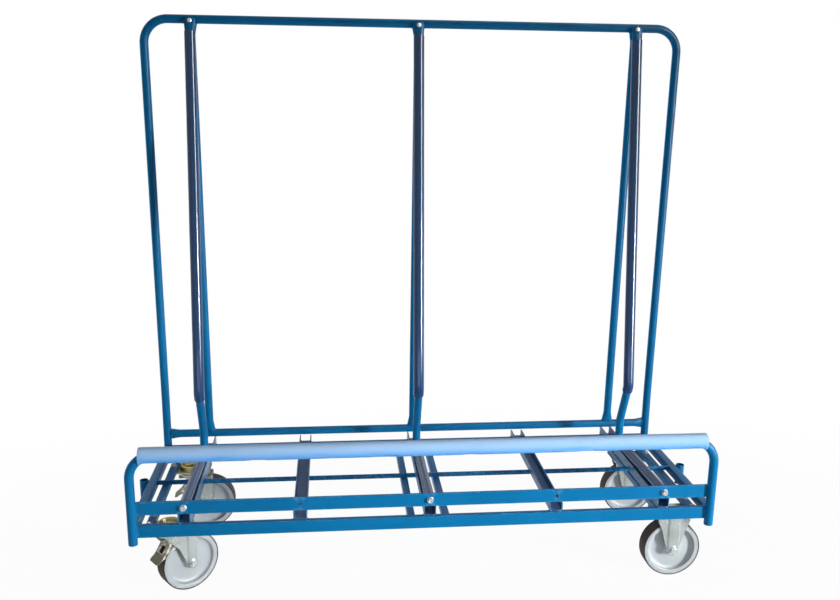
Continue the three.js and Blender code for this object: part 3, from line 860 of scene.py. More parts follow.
KICK_BOLT = HexBolt(across=0.0196, height=0.0070, washer=0.0214, washer_height=0.0020)
AXLE_BOLT = HexBolt(across=0.0205, height=0.0062, washer=0.0232, washer_height=0.0016)
PLATE_NUT = HexBolt(across=0.0185, height=0.0070, washer=0.0200, washer_height=0.0015)
PLATE_BOLT = HexBolt(across=0.0185, height=0.0060, washer=0.0200, washer_height=0.0012)
KINGPIN_NUT = HexBolt(across=0.0215, height=0.0054, washer=0.0215, washer_height=0.0012)


def slab(draft: Draft, seat: Seat, size: Pair, radius: float, thickness: float,
         chamfer: float = 0.0008) -> None:
    """Adds a flat plate with round corners.

    Args:
        draft: Where it goes.
        seat: Middle of its lower face; it rises along the seat.
        size: Its two sides.
        radius: Corner radius.
        thickness: Thickness.
        chamfer: Rounding of its rims.
    """
    full, _ = rounded_rect(*size, radius)
    drawn, _ = rounded_rect(*size, radius, chamfer)
    rings = []
    for section, height, mark in ((drawn, 0.0, 0.6), (full, chamfer, 0.8), (full, thickness - chamfer, 1.0),
                                  (drawn, thickness, 1.0)):
        rings.append(draft.ring([seat.at(u, v, height) for u, v in section], mark))
    draft.skin(rings)


def bead(draft: Draft, points: Sequence[Vector], radius: float, closed: bool = False,
         pitch: float = 0.0045) -> None:
    """Adds a rippled weld bead along a line.

    Args:
        draft: Where it goes.
        points: The line.
        radius: Bead radius.
        closed: Whether the line closes on itself.
        pitch: Length of one ripple.
    """
    line = [Vector(p) for p in points]
    if closed:
        line.append(line[0].copy())
    stops: list[Vector] = []
    for before, after in zip(line, line[1:]):
        count = max(1, round((after - before).length / (pitch / 4)))
        stops.extend(before.lerp(after, i / count) for i in range(count))
    if not closed:
        stops.append(line[-1])
    rings = []
    total = len(stops)
    for index, place in enumerate(stops):
        ahead = stops[(index + 1) % total] if closed or index + 1 < total else place
        behind = stops[index - 1] if closed or index else place
        along = (ahead - behind).normalized()
        reference = Z_AXIS if abs(along.z) < 0.8 else X_AXIS
        across = (reference - along * reference.dot(along)).normalized()
        swell = 1.0 + 0.16 * math.cos(math.pi * index / 2) + 0.22 * noise.noise(place * 180.0)
        if not closed and index in (0, total - 1):
            swell *= 0.45
        seat = Seat(place, across, along.cross(across))
        rings.append(draft.ring([seat.at(u * swell, v * swell) for u, v in circle(radius, 8)], 0.35))
    draft.skin(rings, closed)


# Sub-assemblies


@dataclass
class DeckFrame:
    """Rails, cross bars and stake sockets of the deck."""

    corner: float = 0.0030
    rail_wall: float = 0.0025
    main_wall: float = 0.0032
    channel_wall: float = 0.0040
    channel_lip: float = 0.001
    post_inset: float = 0.011
    flat_corner: float = 0.0012
    socket_wall: float = 0.0025
    socket_sides: int = 28
    socket_stops: Pair = (0.004, 0.070)

    def build(self) -> None:
        """Builds every bar of the deck."""
        for node in ("front_rail", "rear_rail"):
            self.bar(node, BLUE, axis=0, inset=self.post_inset)
        for end in End:
            self.bar(f"side_rail_{end.label}", BLUE_BAR, axis=1)
            self.channel(f"deck_channel_{end.label}", self.channel_wall)
            self.socket(f"stake_socket_{end.label}")
        for station in Station:
            self.channel(f"main_bar_{station.label}", self.main_wall)
            for order in BAR_PAIR:
                self.bar(f"lower_bar_{station.label}_{order}", BLUE_BAR, axis=1)
        self.flat_bar("mid_bar")

    def bar(self, node: str, finish: Finish, axis: int, inset: float = 0.0) -> None:
        """Builds a hollow bar that runs along or across the cart.

        Args:
            node: The node it stands for.
            finish: Its finish.
            axis: 0 where it runs along the cart, 1 where it runs across.
            inset: How far each end stops short of the node's end.
        """
        low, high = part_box(node)
        start, end = (low + high) / 2, (low + high) / 2
        start[axis], end[axis] = low[axis] + inset, high[axis] - inset
        size = (high[1 - axis] - low[1 - axis], high.z - low.z)
        draft = Draft()
        box_tube(draft, start, end, size, self.rail_wall, self.corner)
        draft.piece(f"{node}_tube", "frame", finish, node)

    def channel(self, node: str, wall: float) -> None:
        """Builds a channel that is open at the top.

        Args:
            node: The node it stands for.
            wall: Wall thickness.
        """
        low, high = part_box(node)
        middle, bend = (low.x + high.x) / 2, self.corner
        half, tall = (high.x - low.x) / 2, high.z - low.z
        side = [(half, tall), (half, bend * 1.6), (half - bend * 0.25, bend * 0.6),
                (half - bend * 1.1, 0.0)]
        inside = [(half - wall, tall), (half - wall, wall + bend),
                  (half - wall - bend * 0.3, wall + bend * 0.3), (half - wall - bend, wall)]
        outline = side + [(-u, v) for u, v in reversed(side)]
        outline += [(-u, v) for u, v in inside] + list(reversed(inside))
        marks = [1.0, 0.5, 0.5, 0.2, 0.2, 0.5, 0.5, 1.0, 1.0, 0.0, 0.0, 0.0, 0.0, 0.0, 0.0, 1.0]
        draft = Draft()
        rings = []
        for y in (low.y, low.y + self.channel_lip, high.y - self.channel_lip, high.y):
            ring = [Vector((middle + u, y, low.z + v)) for u, v in outline]
            rings.append(draft.ring(ring, 1.0 if y in (low.y, high.y) else marks))
        draft.skin(rings)
        draft.piece(f"{node}_section", "frame", BLUE_DECK, node)

    def flat_bar(self, node: str) -> None:
        """Builds the flat middle bar.

        Args:
            node: The node it stands for.
        """
        low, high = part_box(node)
        draft = Draft()
        seat = Seat(Vector((low.x, (low.y + high.y) / 2, (low.z + high.z) / 2)), Y_AXIS, Z_AXIS)
        slab(draft, seat, (high.y - low.y, high.z - low.z), self.flat_corner, high.x - low.x)
        draft.piece(f"{node}_flat", "frame", BLUE, node)

    def socket(self, node: str) -> None:
        """Builds a stake socket, a short upright tube that is open at both ends.

        Args:
            node: The node it stands for.
        """
        low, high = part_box(node)
        middle, radius = (low + high) / 2, (high.y - low.y) / 2
        start = Vector((middle.x, middle.y, low.z))
        end = Vector((middle.x, middle.y, high.z))
        draft = Draft()
        path = straight_path(start, end, self.socket_stops)
        tube(draft, path, X_AXIS, radius, self.socket_wall, self.socket_sides)
        draft.piece(f"{node}_tube", "frame", BLUE, node)


@dataclass
class HolePatch:
    """Points of a square patch around one hole of the kick bar."""

    rim: list[int]
    first: list[int]
    top: list[int]
    last: list[int]
    bottom: list[int]


@dataclass
class BarFace:
    """One face of the kick bar: its two end columns and the patches around its holes."""

    start: list[int]
    patches: list[HolePatch]
    end: list[int]

    def border(self, row: int) -> list[int]:
        """The face's upper border, or its lower border for row 0.

        Args:
            row: 0 for the lower border, -1 for the upper one.

        Returns:
            The points' numbers from the left end to the right.
        """
        line = [self.start[row]]
        for patch in self.patches:
            between = patch.top if row else patch.bottom
            line += [patch.first[row], *between, patch.last[row]]
        return [*line, self.end[row]]


@dataclass
class KickBar:
    """Flat bar across the front with its bolts and two spare holes."""

    hole: float = 0.0106
    hole_sides: int = 24

    def build(self) -> None:
        """Builds the bar and its bolts."""
        low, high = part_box("kick_bar")
        bolts = {station: middle_of(f"kick_bolt_{station.label}") for station in Station}
        level = sum(bolt.z for bolt in bolts.values()) / len(bolts)
        channels = [middle_of(f"deck_channel_{end.label}") for end in End]
        places = sorted(place.x for place in (*bolts.values(), *channels))
        draft = Draft()
        front, back = (self.face(draft, low, high, y, places, level) for y in (low.y, high.y))
        self.walls(draft, front, back)
        draft.piece("kick_bar_flat", "frame", BLUE, "kick_bar")
        for station, bolt in bolts.items():
            head = Draft()
            KICK_BOLT.add(head, Seat(Vector((bolt.x, low.y, level)), X_AXIS, Z_AXIS))
            head.piece(f"kick_bolt_head_{station.label}", "frame", BRIGHT, f"kick_bolt_{station.label}")

    def face(self, draft: Draft, low: Vector, high: Vector, y: float, places: Sequence[float],
             level: float) -> BarFace:
        """Adds one face as patches around its holes and plain lengths between them.

        Args:
            draft: Where it goes.
            low: The bar's lowest corner.
            high: The bar's highest corner.
            y: Depth of the face.
            places: The holes' places along the bar.
            level: The holes' height.

        Returns:
            The face's columns and patches.
        """
        per_side = self.hole_sides // 4
        steps = [(high.z - low.z) * i / per_side for i in range(per_side + 1)]
        column = draft.ring([Vector((low.x, y, low.z + s)) for s in steps], 0.5)
        made = BarFace(column, [], [])
        for x in places:
            patch = self.patch(draft, Vector((x, y, level)), low.z, high.z, steps)
            draft.strip(column, patch.first)
            made.patches.append(patch)
            column = patch.last
        made.end = draft.ring([Vector((high.x, y, low.z + s)) for s in steps], 0.5)
        draft.strip(column, made.end)
        return made

    def patch(self, draft: Draft, hole: Vector, low: float, high: float, steps: list[float]) -> HolePatch:
        """Adds the square patch around one hole.

        Args:
            draft: Where it goes.
            hole: Middle of the hole.
            low: Height of the bar's lower border.
            high: Height of the bar's upper border.
            steps: Distances of the rows from the lower border.

        Returns:
            The patch's points.
        """
        left, right = hole.x - (high - low) / 2, hole.x + (high - low) / 2
        first, last = (draft.ring([Vector((x, hole.y, low + s)) for s in steps]) for x in (left, right))
        top, bottom = (draft.ring([Vector((left + s, hole.y, z)) for s in steps[1:-1]], 1.0)
                       for z in (high, low))
        square = first + top + list(reversed(last)) + list(reversed(bottom))
        outline = []
        for number in square:
            away = draft.points[number] - hole
            outline.append(hole + away.normalized() * self.hole / 2)
        rim = draft.ring(outline, 0.7)
        draft.band(square, rim)
        return HolePatch(rim, first, top, last, bottom)

    @staticmethod
    def walls(draft: Draft, front: BarFace, back: BarFace) -> None:
        """Joins the front and back faces along the hole rims and the outline.

        Args:
            draft: Where they go.
            front: The front face.
            back: The back face.
        """
        for near, far in zip(front.patches, back.patches):
            draft.band(near.rim, far.rim)
        for row in (-1, 0):
            draft.strip(front.border(row), back.border(row))
            for number in front.border(row) + back.border(row):
                draft.marks[number] = 1.0
        draft.strip(front.start, back.start)
        draft.strip(front.end, back.end)


@dataclass
class GuardHoop:
    """Front hoop of bent tube with its plugs and foam sleeve."""

    radius: float = TUBE_RADIUS
    wall: float = TUBE_WALL
    bend: float = 0.080
    foam_radius: float = 0.0260
    foam_half: float = 0.9215
    foam_skin: float = 0.0040
    foam_sides: int = 40
    foam_step: float = 0.006
    foam_room: float = 0.0006
    foam_end: float = 0.0008
    foam_fit: float = 0.0003
    swing_depth: float = 0.0006
    dent_depth: float = 0.0030
    nick_depth: float = 0.0050
    slit_depth: float = 0.0022
    slit_place: float = 0.55
    slit_width: float = 0.07
    foam_crease: float = 50.0

    def build(self) -> None:
        """Builds the hoop, its two plugs and the foam."""
        low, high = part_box("front_hoop")
        span, height = high.x - self.radius, high.z - self.radius
        y = (low.y + high.y) / 2
        corners = [Vector((-span, y, low.z)), Vector((-span, y, height)), Vector((span, y, height)),
                   Vector((span, y, low.z))]
        draft = Draft()
        tube(draft, bent_path(corners, [self.bend] * 2), Y_AXIS, self.radius, self.wall)
        draft.piece("guard_hoop_tube", "frame", BLUE, "front_hoop")
        tube_plugs("guard", Vector((span, y, low.z)))
        self.foam(span, y, height)

    def drop(self, x: float, span: float) -> float:
        """How far the hoop's centre line lies under its top run at a place along it."""
        past = min(max(abs(x) - (span - self.bend), 0.0), self.bend)
        return self.bend - math.sqrt(self.bend ** 2 - past ** 2)

    def foam(self, span: float, y: float, height: float) -> None:
        """Builds the foam sleeve: square ends, dents along its lower edge and the slit underneath.

        Args:
            span: Half distance between the posts.
            y: Depth of the hoop.
            height: Height of the hoop's top run.
        """
        draft = Draft()
        count = round(2 * self.foam_half / self.foam_step)
        bore = self.radius + self.foam_fit
        outer, inner = [], []
        for index in range(count + 1):
            x = -self.foam_half + 2 * self.foam_half * index / count
            fall = self.drop(x, span)
            sag = max(1.0, (fall + self.radius + self.foam_skin) / self.foam_radius)
            at_end = index in (0, count)
            ring, hollow = [], []
            for u, v in circle(1.0, self.foam_sides):
                plain = self.foam_radius - self.foam_room - (self.foam_end if at_end else 0.0)
                reach = plain + self.unevenness(x, u, v)
                ring.append(Vector((x, y + u * reach, height + v * reach * (sag if v < 0 else 1.0))))
                hollow.append(Vector((x, y, height - fall)) + Vector((0, u, v)) * bore)
            outer.append(draft.ring(ring, 0.9 if at_end else 0.0))
            inner.append(draft.ring(hollow, 0.0))
        draft.skin(outer + list(reversed(inner)), closed=True)
        made = draft.piece("guard_foam", "frame", FOAM_BLUE, "foam_sleeve", crease=self.foam_crease)

    def unevenness(self, x: float, u: float, v: float) -> float:
        """How far the foam's skin stands out or in at a place.

        Args:
            x: Place along the cart.
            u: Share of the section towards the rear.
            v: Share of the section upwards.

        Returns:
            The step from the plain round section.
        """
        low_front = max(0.0, -v) * (1.6 if u < 0 else 0.6)
        swing = noise.noise(Vector((x * 3.0, u * 0.8, v * 0.8)))
        dent = min(0.0, noise.noise(Vector((x * 11.0, u * 1.3, v * 1.6 + 7.0))) + 0.22)
        nick = min(0.0, noise.noise(Vector((x * 46.0, u * 3.0, v * 3.0 + 3.0))) + 0.40)
        slit = math.exp(-((u - self.slit_place) / self.slit_width) ** 2) if v < -0.3 else 0.0
        return (swing * self.swing_depth + dent * self.dent_depth * (0.5 + 2.2 * low_front)
                + nick * self.nick_depth * low_front - slit * self.slit_depth)


def tube_plugs(word: str, foot: Vector, drop: float = 0.0045, steps: int = 6) -> None:
    """Builds the domed plugs under a hoop's two feet.

    Args:
        word: The hoop's word in their names.
        foot: Middle of the right foot.
        drop: Height of the dome.
        steps: Rings of the dome.
    """
    rim = TUBE_RADIUS * 1.01
    profile = [(TUBE_RADIUS * 0.80, -0.004, 0.0), (rim, -0.0002, 0.4), (rim, drop * 0.25, 0.8)]
    for step in range(1, steps + 1):
        angle = math.pi / 2 * step / (steps + 0.4)
        profile.append((rim * math.cos(angle), drop * (0.25 + 0.75 * math.sin(angle)), 0.3))
    for end in End:
        plug = Draft()
        lathe(plug, Seat(Vector((end.value * foot.x, foot.y, foot.z)), X_AXIS, -Y_AXIS), profile, 28)
        plug.piece(f"{word}_plug_{end.label}", "frame", BLUE)


@dataclass
class RearFrame:
    """Tall rear hoop with its low tube and uprights."""

    radius: float = TUBE_RADIUS
    wall: float = TUBE_WALL
    lean: float = 0.034
    kink: float = 0.469
    kink_bend: float = 0.150
    bend: float = 0.084
    flare: float = 0.045
    flare_steps: int = 8
    flare_widens: float = 0.42
    flare_flattens: float = 0.36
    low_tube_lap: float = 0.55
    upright_lap: float = 0.75

    def build(self) -> None:
        """Builds the hoop, its plugs, the low tube and the uprights."""
        low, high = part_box("rear_hoop")
        span, height = high.x - self.radius, high.z - self.radius
        back = high.y - self.radius
        front = back - self.lean
        left = [Vector((-span, back, low.z)), Vector((-span, back, self.kink)),
                Vector((-span, front, height))]
        corners = left + [Vector((-p.x, p.y, p.z)) for p in reversed(left)]
        draft = Draft()
        path = bent_path(corners, [self.kink_bend, self.bend, self.bend, self.kink_bend])
        tube(draft, path, Y_AXIS, self.radius, self.wall)
        draft.piece("rear_hoop_tube", "frame", BLUE, "rear_hoop")
        tube_plugs("rear", Vector((span, back, low.z)))
        level = middle_of("rear_low_tube").z
        reach = span - self.radius * self.low_tube_lap
        self.flared("rear_low_tube", Vector((-reach, back, level)), Vector((reach, back, level)), Z_AXIS)
        for station in Station:
            x = middle_of(f"rear_upright_{station.label}").x
            foot = Vector((x, back, level + self.radius * self.upright_lap))
            head = Vector((x, front, height - self.radius * self.upright_lap))
            self.flared(f"rear_upright_{station.label}", foot, head, X_AXIS)

    def flared(self, node: str, start: Vector, end: Vector, wide: Vector) -> None:
        """Builds a straight tube whose ends are pressed flat and wide where they are welded on.

        Args:
            node: The node it stands for.
            start: Middle of one end.
            end: Middle of the other end.
            wide: Direction in which the ends widen.
        """
        length = (end - start).length
        steps = [self.flare * i / self.flare_steps for i in range(1, self.flare_steps + 1)]
        stops = steps + [length - s for s in steps]
        draft = Draft()
        tube(draft, straight_path(start, end, stops), wide, self.radius, self.wall, section=self.pressed)
        draft.piece(f"{node}_run", "frame", BLUE, node)

    def pressed(self, length: float, distance: float, radius: float) -> Pair:
        """Half axes of a section that widens and flattens towards both ends."""
        ease = smooth(max(0.0, 1 - min(distance, length - distance) / self.flare))
        return radius * (1 + self.flare_widens * ease), radius * (1 - self.flare_flattens * ease)


@dataclass
class Carriers:
    """Bent carriers with their plastic sleeves and head bolts."""

    radius: float = TUBE_RADIUS
    wall: float = TUBE_WALL
    slope: float = 2.0
    foot_y: float = 0.491 - FRAME_SHIFT
    foot_bend: float = 0.036
    joggle_foot: float = 0.405
    joggle_head: float = 0.565
    joggle_y: float = 0.424 - FRAME_SHIFT
    joggle_bend: float = 0.060
    deck_sleeve: float = 0.0170
    sleeve_front: float = 0.012 - FRAME_SHIFT
    sleeve_gap: float = 0.006
    strut_sleeve: float = 0.0195
    sleeve_tail: float = 0.022
    sleeve_fit: float = 0.0004
    deck_lip: float = 0.0008
    strut_lip: float = 0.0012
    wave_depth: float = 0.00035
    fine_depth: float = 0.00018
    deck_step: float = 0.006
    strut_steps: int = 160
    bend_steps: int = 4
    press: float = 0.085
    press_steps: int = 10
    press_wide: float = 0.0200
    press_thin: float = 0.0068
    tip_drop: float = 0.0110
    tip_round: float = 0.010
    tip_narrows: float = 0.0060
    hoop_gap: float = 0.0003
    bolt_radius: float = 0.0080
    bolt_rim: float = 0.0012
    bolt_dome: float = 0.0038
    bolt_drop: float = 0.006
    bolt_sunk: float = 0.0004

    def build(self) -> None:
        """Builds the three carriers."""
        _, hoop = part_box("rear_hoop")
        hoop_front = hoop.y - RearFrame.lean - 2 * self.radius - self.hoop_gap
        slope = math.radians(self.slope)
        for station in Station:
            low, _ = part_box(f"carrier_{station.label}")
            x, level = middle_of(f"carrier_{station.label}").x, middle_of(f"kick_bolt_{station.label}").z

            def deck_point(y: float) -> Vector:
                """A point on the sloping axis of the deck length."""
                return Vector((x, y, level - (y - low.y) * math.tan(slope)))

            foot = deck_point(self.foot_y)
            joggle_foot = Vector((x, self.foot_y, self.joggle_foot))
            joggle_head = Vector((x, self.joggle_y, self.joggle_head))
            tip = Vector((x, hoop_front - self.press_thin, hoop.z - self.tip_drop))
            front = deck_point(low.y + self.radius * math.sin(slope))
            share = self.press / (tip - joggle_head).length
            ending = [joggle_head.lerp(tip, 1 - share * step / self.press_steps)
                      for step in range(self.press_steps, 0, -1)]
            bends = [self.foot_bend, self.joggle_bend, self.joggle_bend] + [0.0] * self.press_steps
            path = bent_path([front, foot, joggle_foot, joggle_head, *ending, tip], bends)
            draft = Draft()
            tube(draft, path, X_AXIS, self.radius, self.wall, section=self.pressed)
            draft.piece(f"carrier_{station.label}_tube", "frame", BLUE, f"carrier_{station.label}")
            rear = deck_point(self.foot_y - self.foot_bend - self.sleeve_gap)
            self.deck(station, deck_point(self.sleeve_front), rear)
            self.strut(station, joggle_foot, joggle_head, tip)
            self.head(station, tip, hoop.z - self.radius)

    def pressed(self, length: float, distance: float, radius: float) -> Pair:
        """Half axes of a tube that is pressed flat at its head, where it is bolted to the hoop."""
        ease = smooth(max(0.0, 1 - (length - distance) / self.press))
        corner = max(0.0, 1 - (length - distance) / self.tip_round) ** 2 * self.tip_narrows
        return (radius + (self.press_wide - radius) * ease - corner,
                radius + (self.press_thin - radius) * ease)

    def deck(self, station: Station, start: Vector, end: Vector) -> None:
        """Builds the sleeve on the deck length.

        Args:
            station: Where the carrier stands.
            start: Middle of the sleeve's front end.
            end: Middle of its rear end.
        """
        node = f"deck_sleeve_{station.label}"
        stops = [self.deck_step * i for i in range(1, int((end - start).length / self.deck_step) + 1)]
        draft = Draft()
        tube(draft, straight_path(start, end, stops), X_AXIS, self.deck_sleeve,
             self.deck_sleeve - self.radius - self.sleeve_fit, lip=self.deck_lip, section=self.rippled)
        draft.piece(f"{node}_skin", "frame", INDIGO, node)

    def strut(self, station: Station, joggle_foot: Vector, joggle_head: Vector, tip: Vector) -> None:
        """Builds the sleeve on the leaning strut.

        Args:
            station: Where the carrier stands.
            joggle_foot: Lower corner of the carrier's joggle.
            joggle_head: Upper corner of the joggle.
            tip: Top of the strut.
        """
        node = f"strut_sleeve_{station.label}"
        _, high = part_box(node)
        lean = (tip - joggle_head).normalized()
        tail = (joggle_foot - joggle_head).normalized()
        top = joggle_head + lean * ((high.z - joggle_head.z) / lean.z)
        corners = [joggle_head + tail * self.sleeve_tail, joggle_head]
        corners += [joggle_head.lerp(top, i / self.strut_steps)
                    for i in range(self.bend_steps, self.strut_steps + 1)]
        bends = [self.joggle_bend * 0.6] + [0.0] * (self.strut_steps - self.bend_steps)
        draft = Draft()
        tube(draft, bent_path(corners, bends), X_AXIS, self.strut_sleeve,
             self.strut_sleeve - self.radius - self.sleeve_fit, lip=self.strut_lip, section=self.rippled)
        draft.piece(f"{node}_skin", "frame", INDIGO, node)

    def rippled(self, length: float, distance: float, radius: float) -> Pair:
        """Half axes of a shrunk sleeve whose wall is a little uneven."""
        wave = noise.noise(Vector((distance * 9.0, radius * 200.0, 0.0))) * self.wave_depth
        fine = noise.noise(Vector((distance * 60.0, radius * 90.0, 3.0))) * self.fine_depth
        return radius - self.sleeve_fit + wave + fine, radius - self.sleeve_fit - wave + fine

    def head(self, station: Station, tip: Vector, level: float) -> None:
        """Puts the bolt through the strut's pressed head.

        Args:
            station: Where the carrier stands.
            tip: Top of the strut.
            level: Height of the hoop's middle line.
        """
        radius, rim = self.bolt_radius, self.bolt_rim
        face = tip.y - self.press_thin + self.bolt_sunk
        seat = Seat(Vector((tip.x, face, level - self.bolt_drop)), X_AXIS, Z_AXIS)
        dome = [(radius * 0.75, -0.002, 0.0), (radius, 0.0, 0.4), (radius, rim, 0.8)]
        dome += [(radius * math.cos(a), rim + self.bolt_dome * math.sin(a), 0.5)
                 for a in (0.3, 0.6, 0.9, 1.2, 1.4)]
        bolt = Draft()
        lathe(bolt, seat, dome, 24)
        bolt.piece(f"strut_bolt_{station.label}", "frame", BRIGHT)


@dataclass
class Welds:
    """Rippled beads where the frame's pieces are welded together."""

    radius: float = 0.0026
    short: float = 0.002
    back_inset: float = 0.009
    socket_inset: float = 0.0135
    socket_half: float = 0.0075
    socket_foot: float = 0.028
    socket_head: float = 0.001
    stand_off: float = 0.0006
    bar_radius: float = 0.0020
    bar_inset: float = 0.004
    ring_radius: float = 0.0022
    ring_wide: float = 0.0215
    ring_deep: float = 0.0105
    ring_rise: float = 0.0118
    ring_bow: float = 0.0030
    crease: float = 60.0

    def build(self) -> None:
        """Builds the beads in three groups."""
        self.posts()
        self.deck()
        self.tubes()

    def posts(self) -> None:
        """Beads where rails and the kick bar meet the posts and rear legs."""
        draft = Draft()
        joints = (("front_rail", "front_hoop"), ("kick_bar", "front_hoop"), ("rear_rail", "rear_hoop"))
        for rail, hoop in joints:
            low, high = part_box(rail)
            _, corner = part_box(hoop)
            span = corner.x - TUBE_RADIUS
            for end in End:
                for inset, y in ((TUBE_RADIUS, low.y), (self.back_inset, high.y)):
                    x = end.value * (span - inset)
                    self.upright(draft, x, y, low.z + self.short, high.z - self.short)
        for end in End:
            socket = middle_of(f"stake_socket_{end.label}")
            _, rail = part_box(f"side_rail_{end.label}")
            x = socket.x - end.value * self.socket_inset
            for side in (-1, 1):
                y = socket.y + side * self.socket_half
                self.upright(draft, x, y, rail.z - self.socket_foot, rail.z - self.socket_head)
        draft.piece("weld_beads_posts", "frame", BLUE, crease=self.crease)

    def upright(self, draft: Draft, x: float, y: float, foot: float, head: float) -> None:
        """Adds an upright bead between two heights."""
        bead(draft, [Vector((x, y, foot)), Vector((x, y, head))], self.radius)

    def deck(self) -> None:
        """Beads where cross bars stand on the rails and meet the middle bar."""
        draft = Draft()
        bars = [f"main_bar_{s.label}" for s in Station] + [f"deck_channel_{e.label}" for e in End]
        for rail in ("front_rail", "rear_rail"):
            low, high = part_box(rail)
            for bar in bars:
                left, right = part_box(bar)
                near, far = max(low.y, left.y) + self.short, min(high.y, right.y) - self.short
                for x in (left.x - self.stand_off, right.x + self.stand_off):
                    bead(draft, [Vector((x, near, high.z)), Vector((x, far, high.z))], self.radius)
        low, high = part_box("mid_bar")
        for station in Station:
            for order in BAR_PAIR:
                left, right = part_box(f"lower_bar_{station.label}_{order}")
                start, end = left.x + self.bar_inset, right.x - self.bar_inset
                for y in (low.y, high.y):
                    bead(draft, [Vector((start, y, low.z)), Vector((end, y, low.z))], self.bar_radius)
        draft.piece("weld_beads_deck", "frame", BLUE_DECK, crease=self.crease)

    def tubes(self) -> None:
        """Beads around the pressed ends of the uprights and the low tube."""
        draft = Draft()
        _, y, level = middle_of("rear_low_tube")
        _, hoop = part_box("rear_hoop")
        round_points = circle(1.0, 24)
        for station in Station:
            x = middle_of(f"rear_upright_{station.label}").x
            for place, up in ((Vector((x, y, level)), 1),
                              (Vector((x, y - RearFrame.lean, hoop.z - TUBE_RADIUS)), -1)):
                ring = [place + Vector((self.ring_wide * u, self.ring_deep * v,
                                        up * (self.ring_rise + self.ring_bow * abs(u))))
                        for u, v in round_points]
                bead(draft, ring, self.ring_radius, closed=True)
        for end in End:
            place = Vector((end.value * (hoop.x - 2 * TUBE_RADIUS), y, level))
            ring = [place + Vector((end.value * self.ring_bow * (1 - abs(u)), self.ring_deep * u,
                                    self.ring_wide * v)) for u, v in round_points]
            bead(draft, ring, self.ring_radius, closed=True)
        draft.piece("weld_beads_tubes", "frame", BLUE, crease=self.crease)


@dataclass
class Wheel:
    """Wheel centre, tyre and axle bolt of a caster."""

    radius: float = 0.100
    tread: float = 0.0040
    half_width: float = 0.0250
    rim_half: float = 0.0240
    hub_half: float = 0.0280
    fork_face: float = 0.0362
    axle_radius: float = 0.0060
    web: float = 0.0105
    grooves: Pair = (0.0155, 0.0070)
    groove_half: float = 0.0008
    groove_depth: float = 0.0006
    rim_crease: float = 28.0
    tyre_crease: float = 40.0
    sides: int = 96

    def build(self, label: str, seat: Seat, wheel_body: str, fork_body: str) -> None:
        """Builds the wheel in its place.

        Args:
            label: The caster's name.
            seat: Wheel centre; it runs along the axle.
            wheel_body: Body of the wheel.
            fork_body: Body of the fork that holds the axle.
        """
        rim = Draft()
        lathe(rim, seat, self.mirrored(self.rim_profile()), self.sides, closed=True)
        rim.piece(f"wheel_centre_{label}", wheel_body, GREY, f"rim_{label}", crease=self.rim_crease)
        tyre = Draft()
        lathe(tyre, seat, self.mirrored(self.tyre_profile()), self.sides, closed=True)
        tyre.piece(f"tyre_ring_{label}", wheel_body, TREAD, f"tyre_{label}", crease=self.tyre_crease)
        axle = Draft()
        lathe(axle, seat, [(self.axle_radius, end * self.fork_face, 0.0) for end in (-1, 1)], 24)
        for side in (-1, 1):
            face = Seat(seat.at(0, 0, side * self.fork_face), seat.across * side, seat.up)
            AXLE_BOLT.add(axle, face)
        axle.piece(f"axle_bolt_{label}", fork_body, BRIGHT, f"axle_{label}")

    @staticmethod
    def mirrored(half: Sequence[Triple]) -> list[Triple]:
        """A closed profile from its one half."""
        return list(half) + [(r, -h, m) for r, h, m in reversed(half)]

    def rim_profile(self) -> list[Triple]:
        """Half profile of the wheel centre, from the bore out to the tyre's seat.

        Returns:
            Radius, height and edge mark of each point.
        """
        edge, lip, hub, web = self.radius - self.tread, self.rim_half, self.hub_half, self.web
        return [(0.0063, hub, 0.3), (0.0190, hub, 0.6), (0.0205, hub - 0.0012, 1.0),
                (0.0225, hub - 0.006, 0.2), (0.0250, web + 0.0060, 0.0), (0.0290, web + 0.0030, 0.0),
                (0.0360, web + 0.0016, 0.0), (0.0480, web + 0.0002, 0.0), (0.0600, web - 0.0010, 0.0),
                (0.0690, web - 0.0008, 0.0), (0.0740, web + 0.0004, 0.0), (0.0772, web + 0.0028, 0.0),
                (0.0790, web + 0.0058, 0.0), (0.0802, lip - 0.0036, 0.0), (0.0812, lip - 0.0012, 0.5),
                (0.0824, lip - 0.0002, 0.9), (0.0840, lip + 0.0001, 0.2), (0.0905, lip + 0.0001, 0.0),
                (0.0907, lip - 0.0003, 0.3), (0.0912, lip - 0.0003, 0.3), (0.0914, lip + 0.0001, 0.3),
                (edge - 0.0012, lip, 0.5), (edge, lip - 0.0010, 1.0), (edge, 0.010, 0.0)]

    def tyre_profile(self) -> list[Triple]:
        """Half profile of the tyre, from its seat out to the tread's middle.

        Returns:
            Radius, height and edge mark of each point.
        """
        seat, half, top = self.radius - self.tread + 0.0002, self.half_width, self.radius
        bend = self.tread - 0.0010
        points = [(seat, 0.012, 0.0), (seat, half - 0.0012, 0.0), (seat + 0.0006, half - 0.0003, 0.2)]
        for step in range(7):
            angle = math.pi / 2 * step / 6
            points.append((top - bend + bend * math.sin(angle), half - bend + bend * math.cos(angle), 0.4))
        for groove in self.grooves:
            points += [(top, groove + self.groove_half, 0.3), (top - self.groove_depth, groove, 0.0),
                       (top, groove - self.groove_half, 0.3)]
        points.append((top, 0.0030, 0.0))
        return points


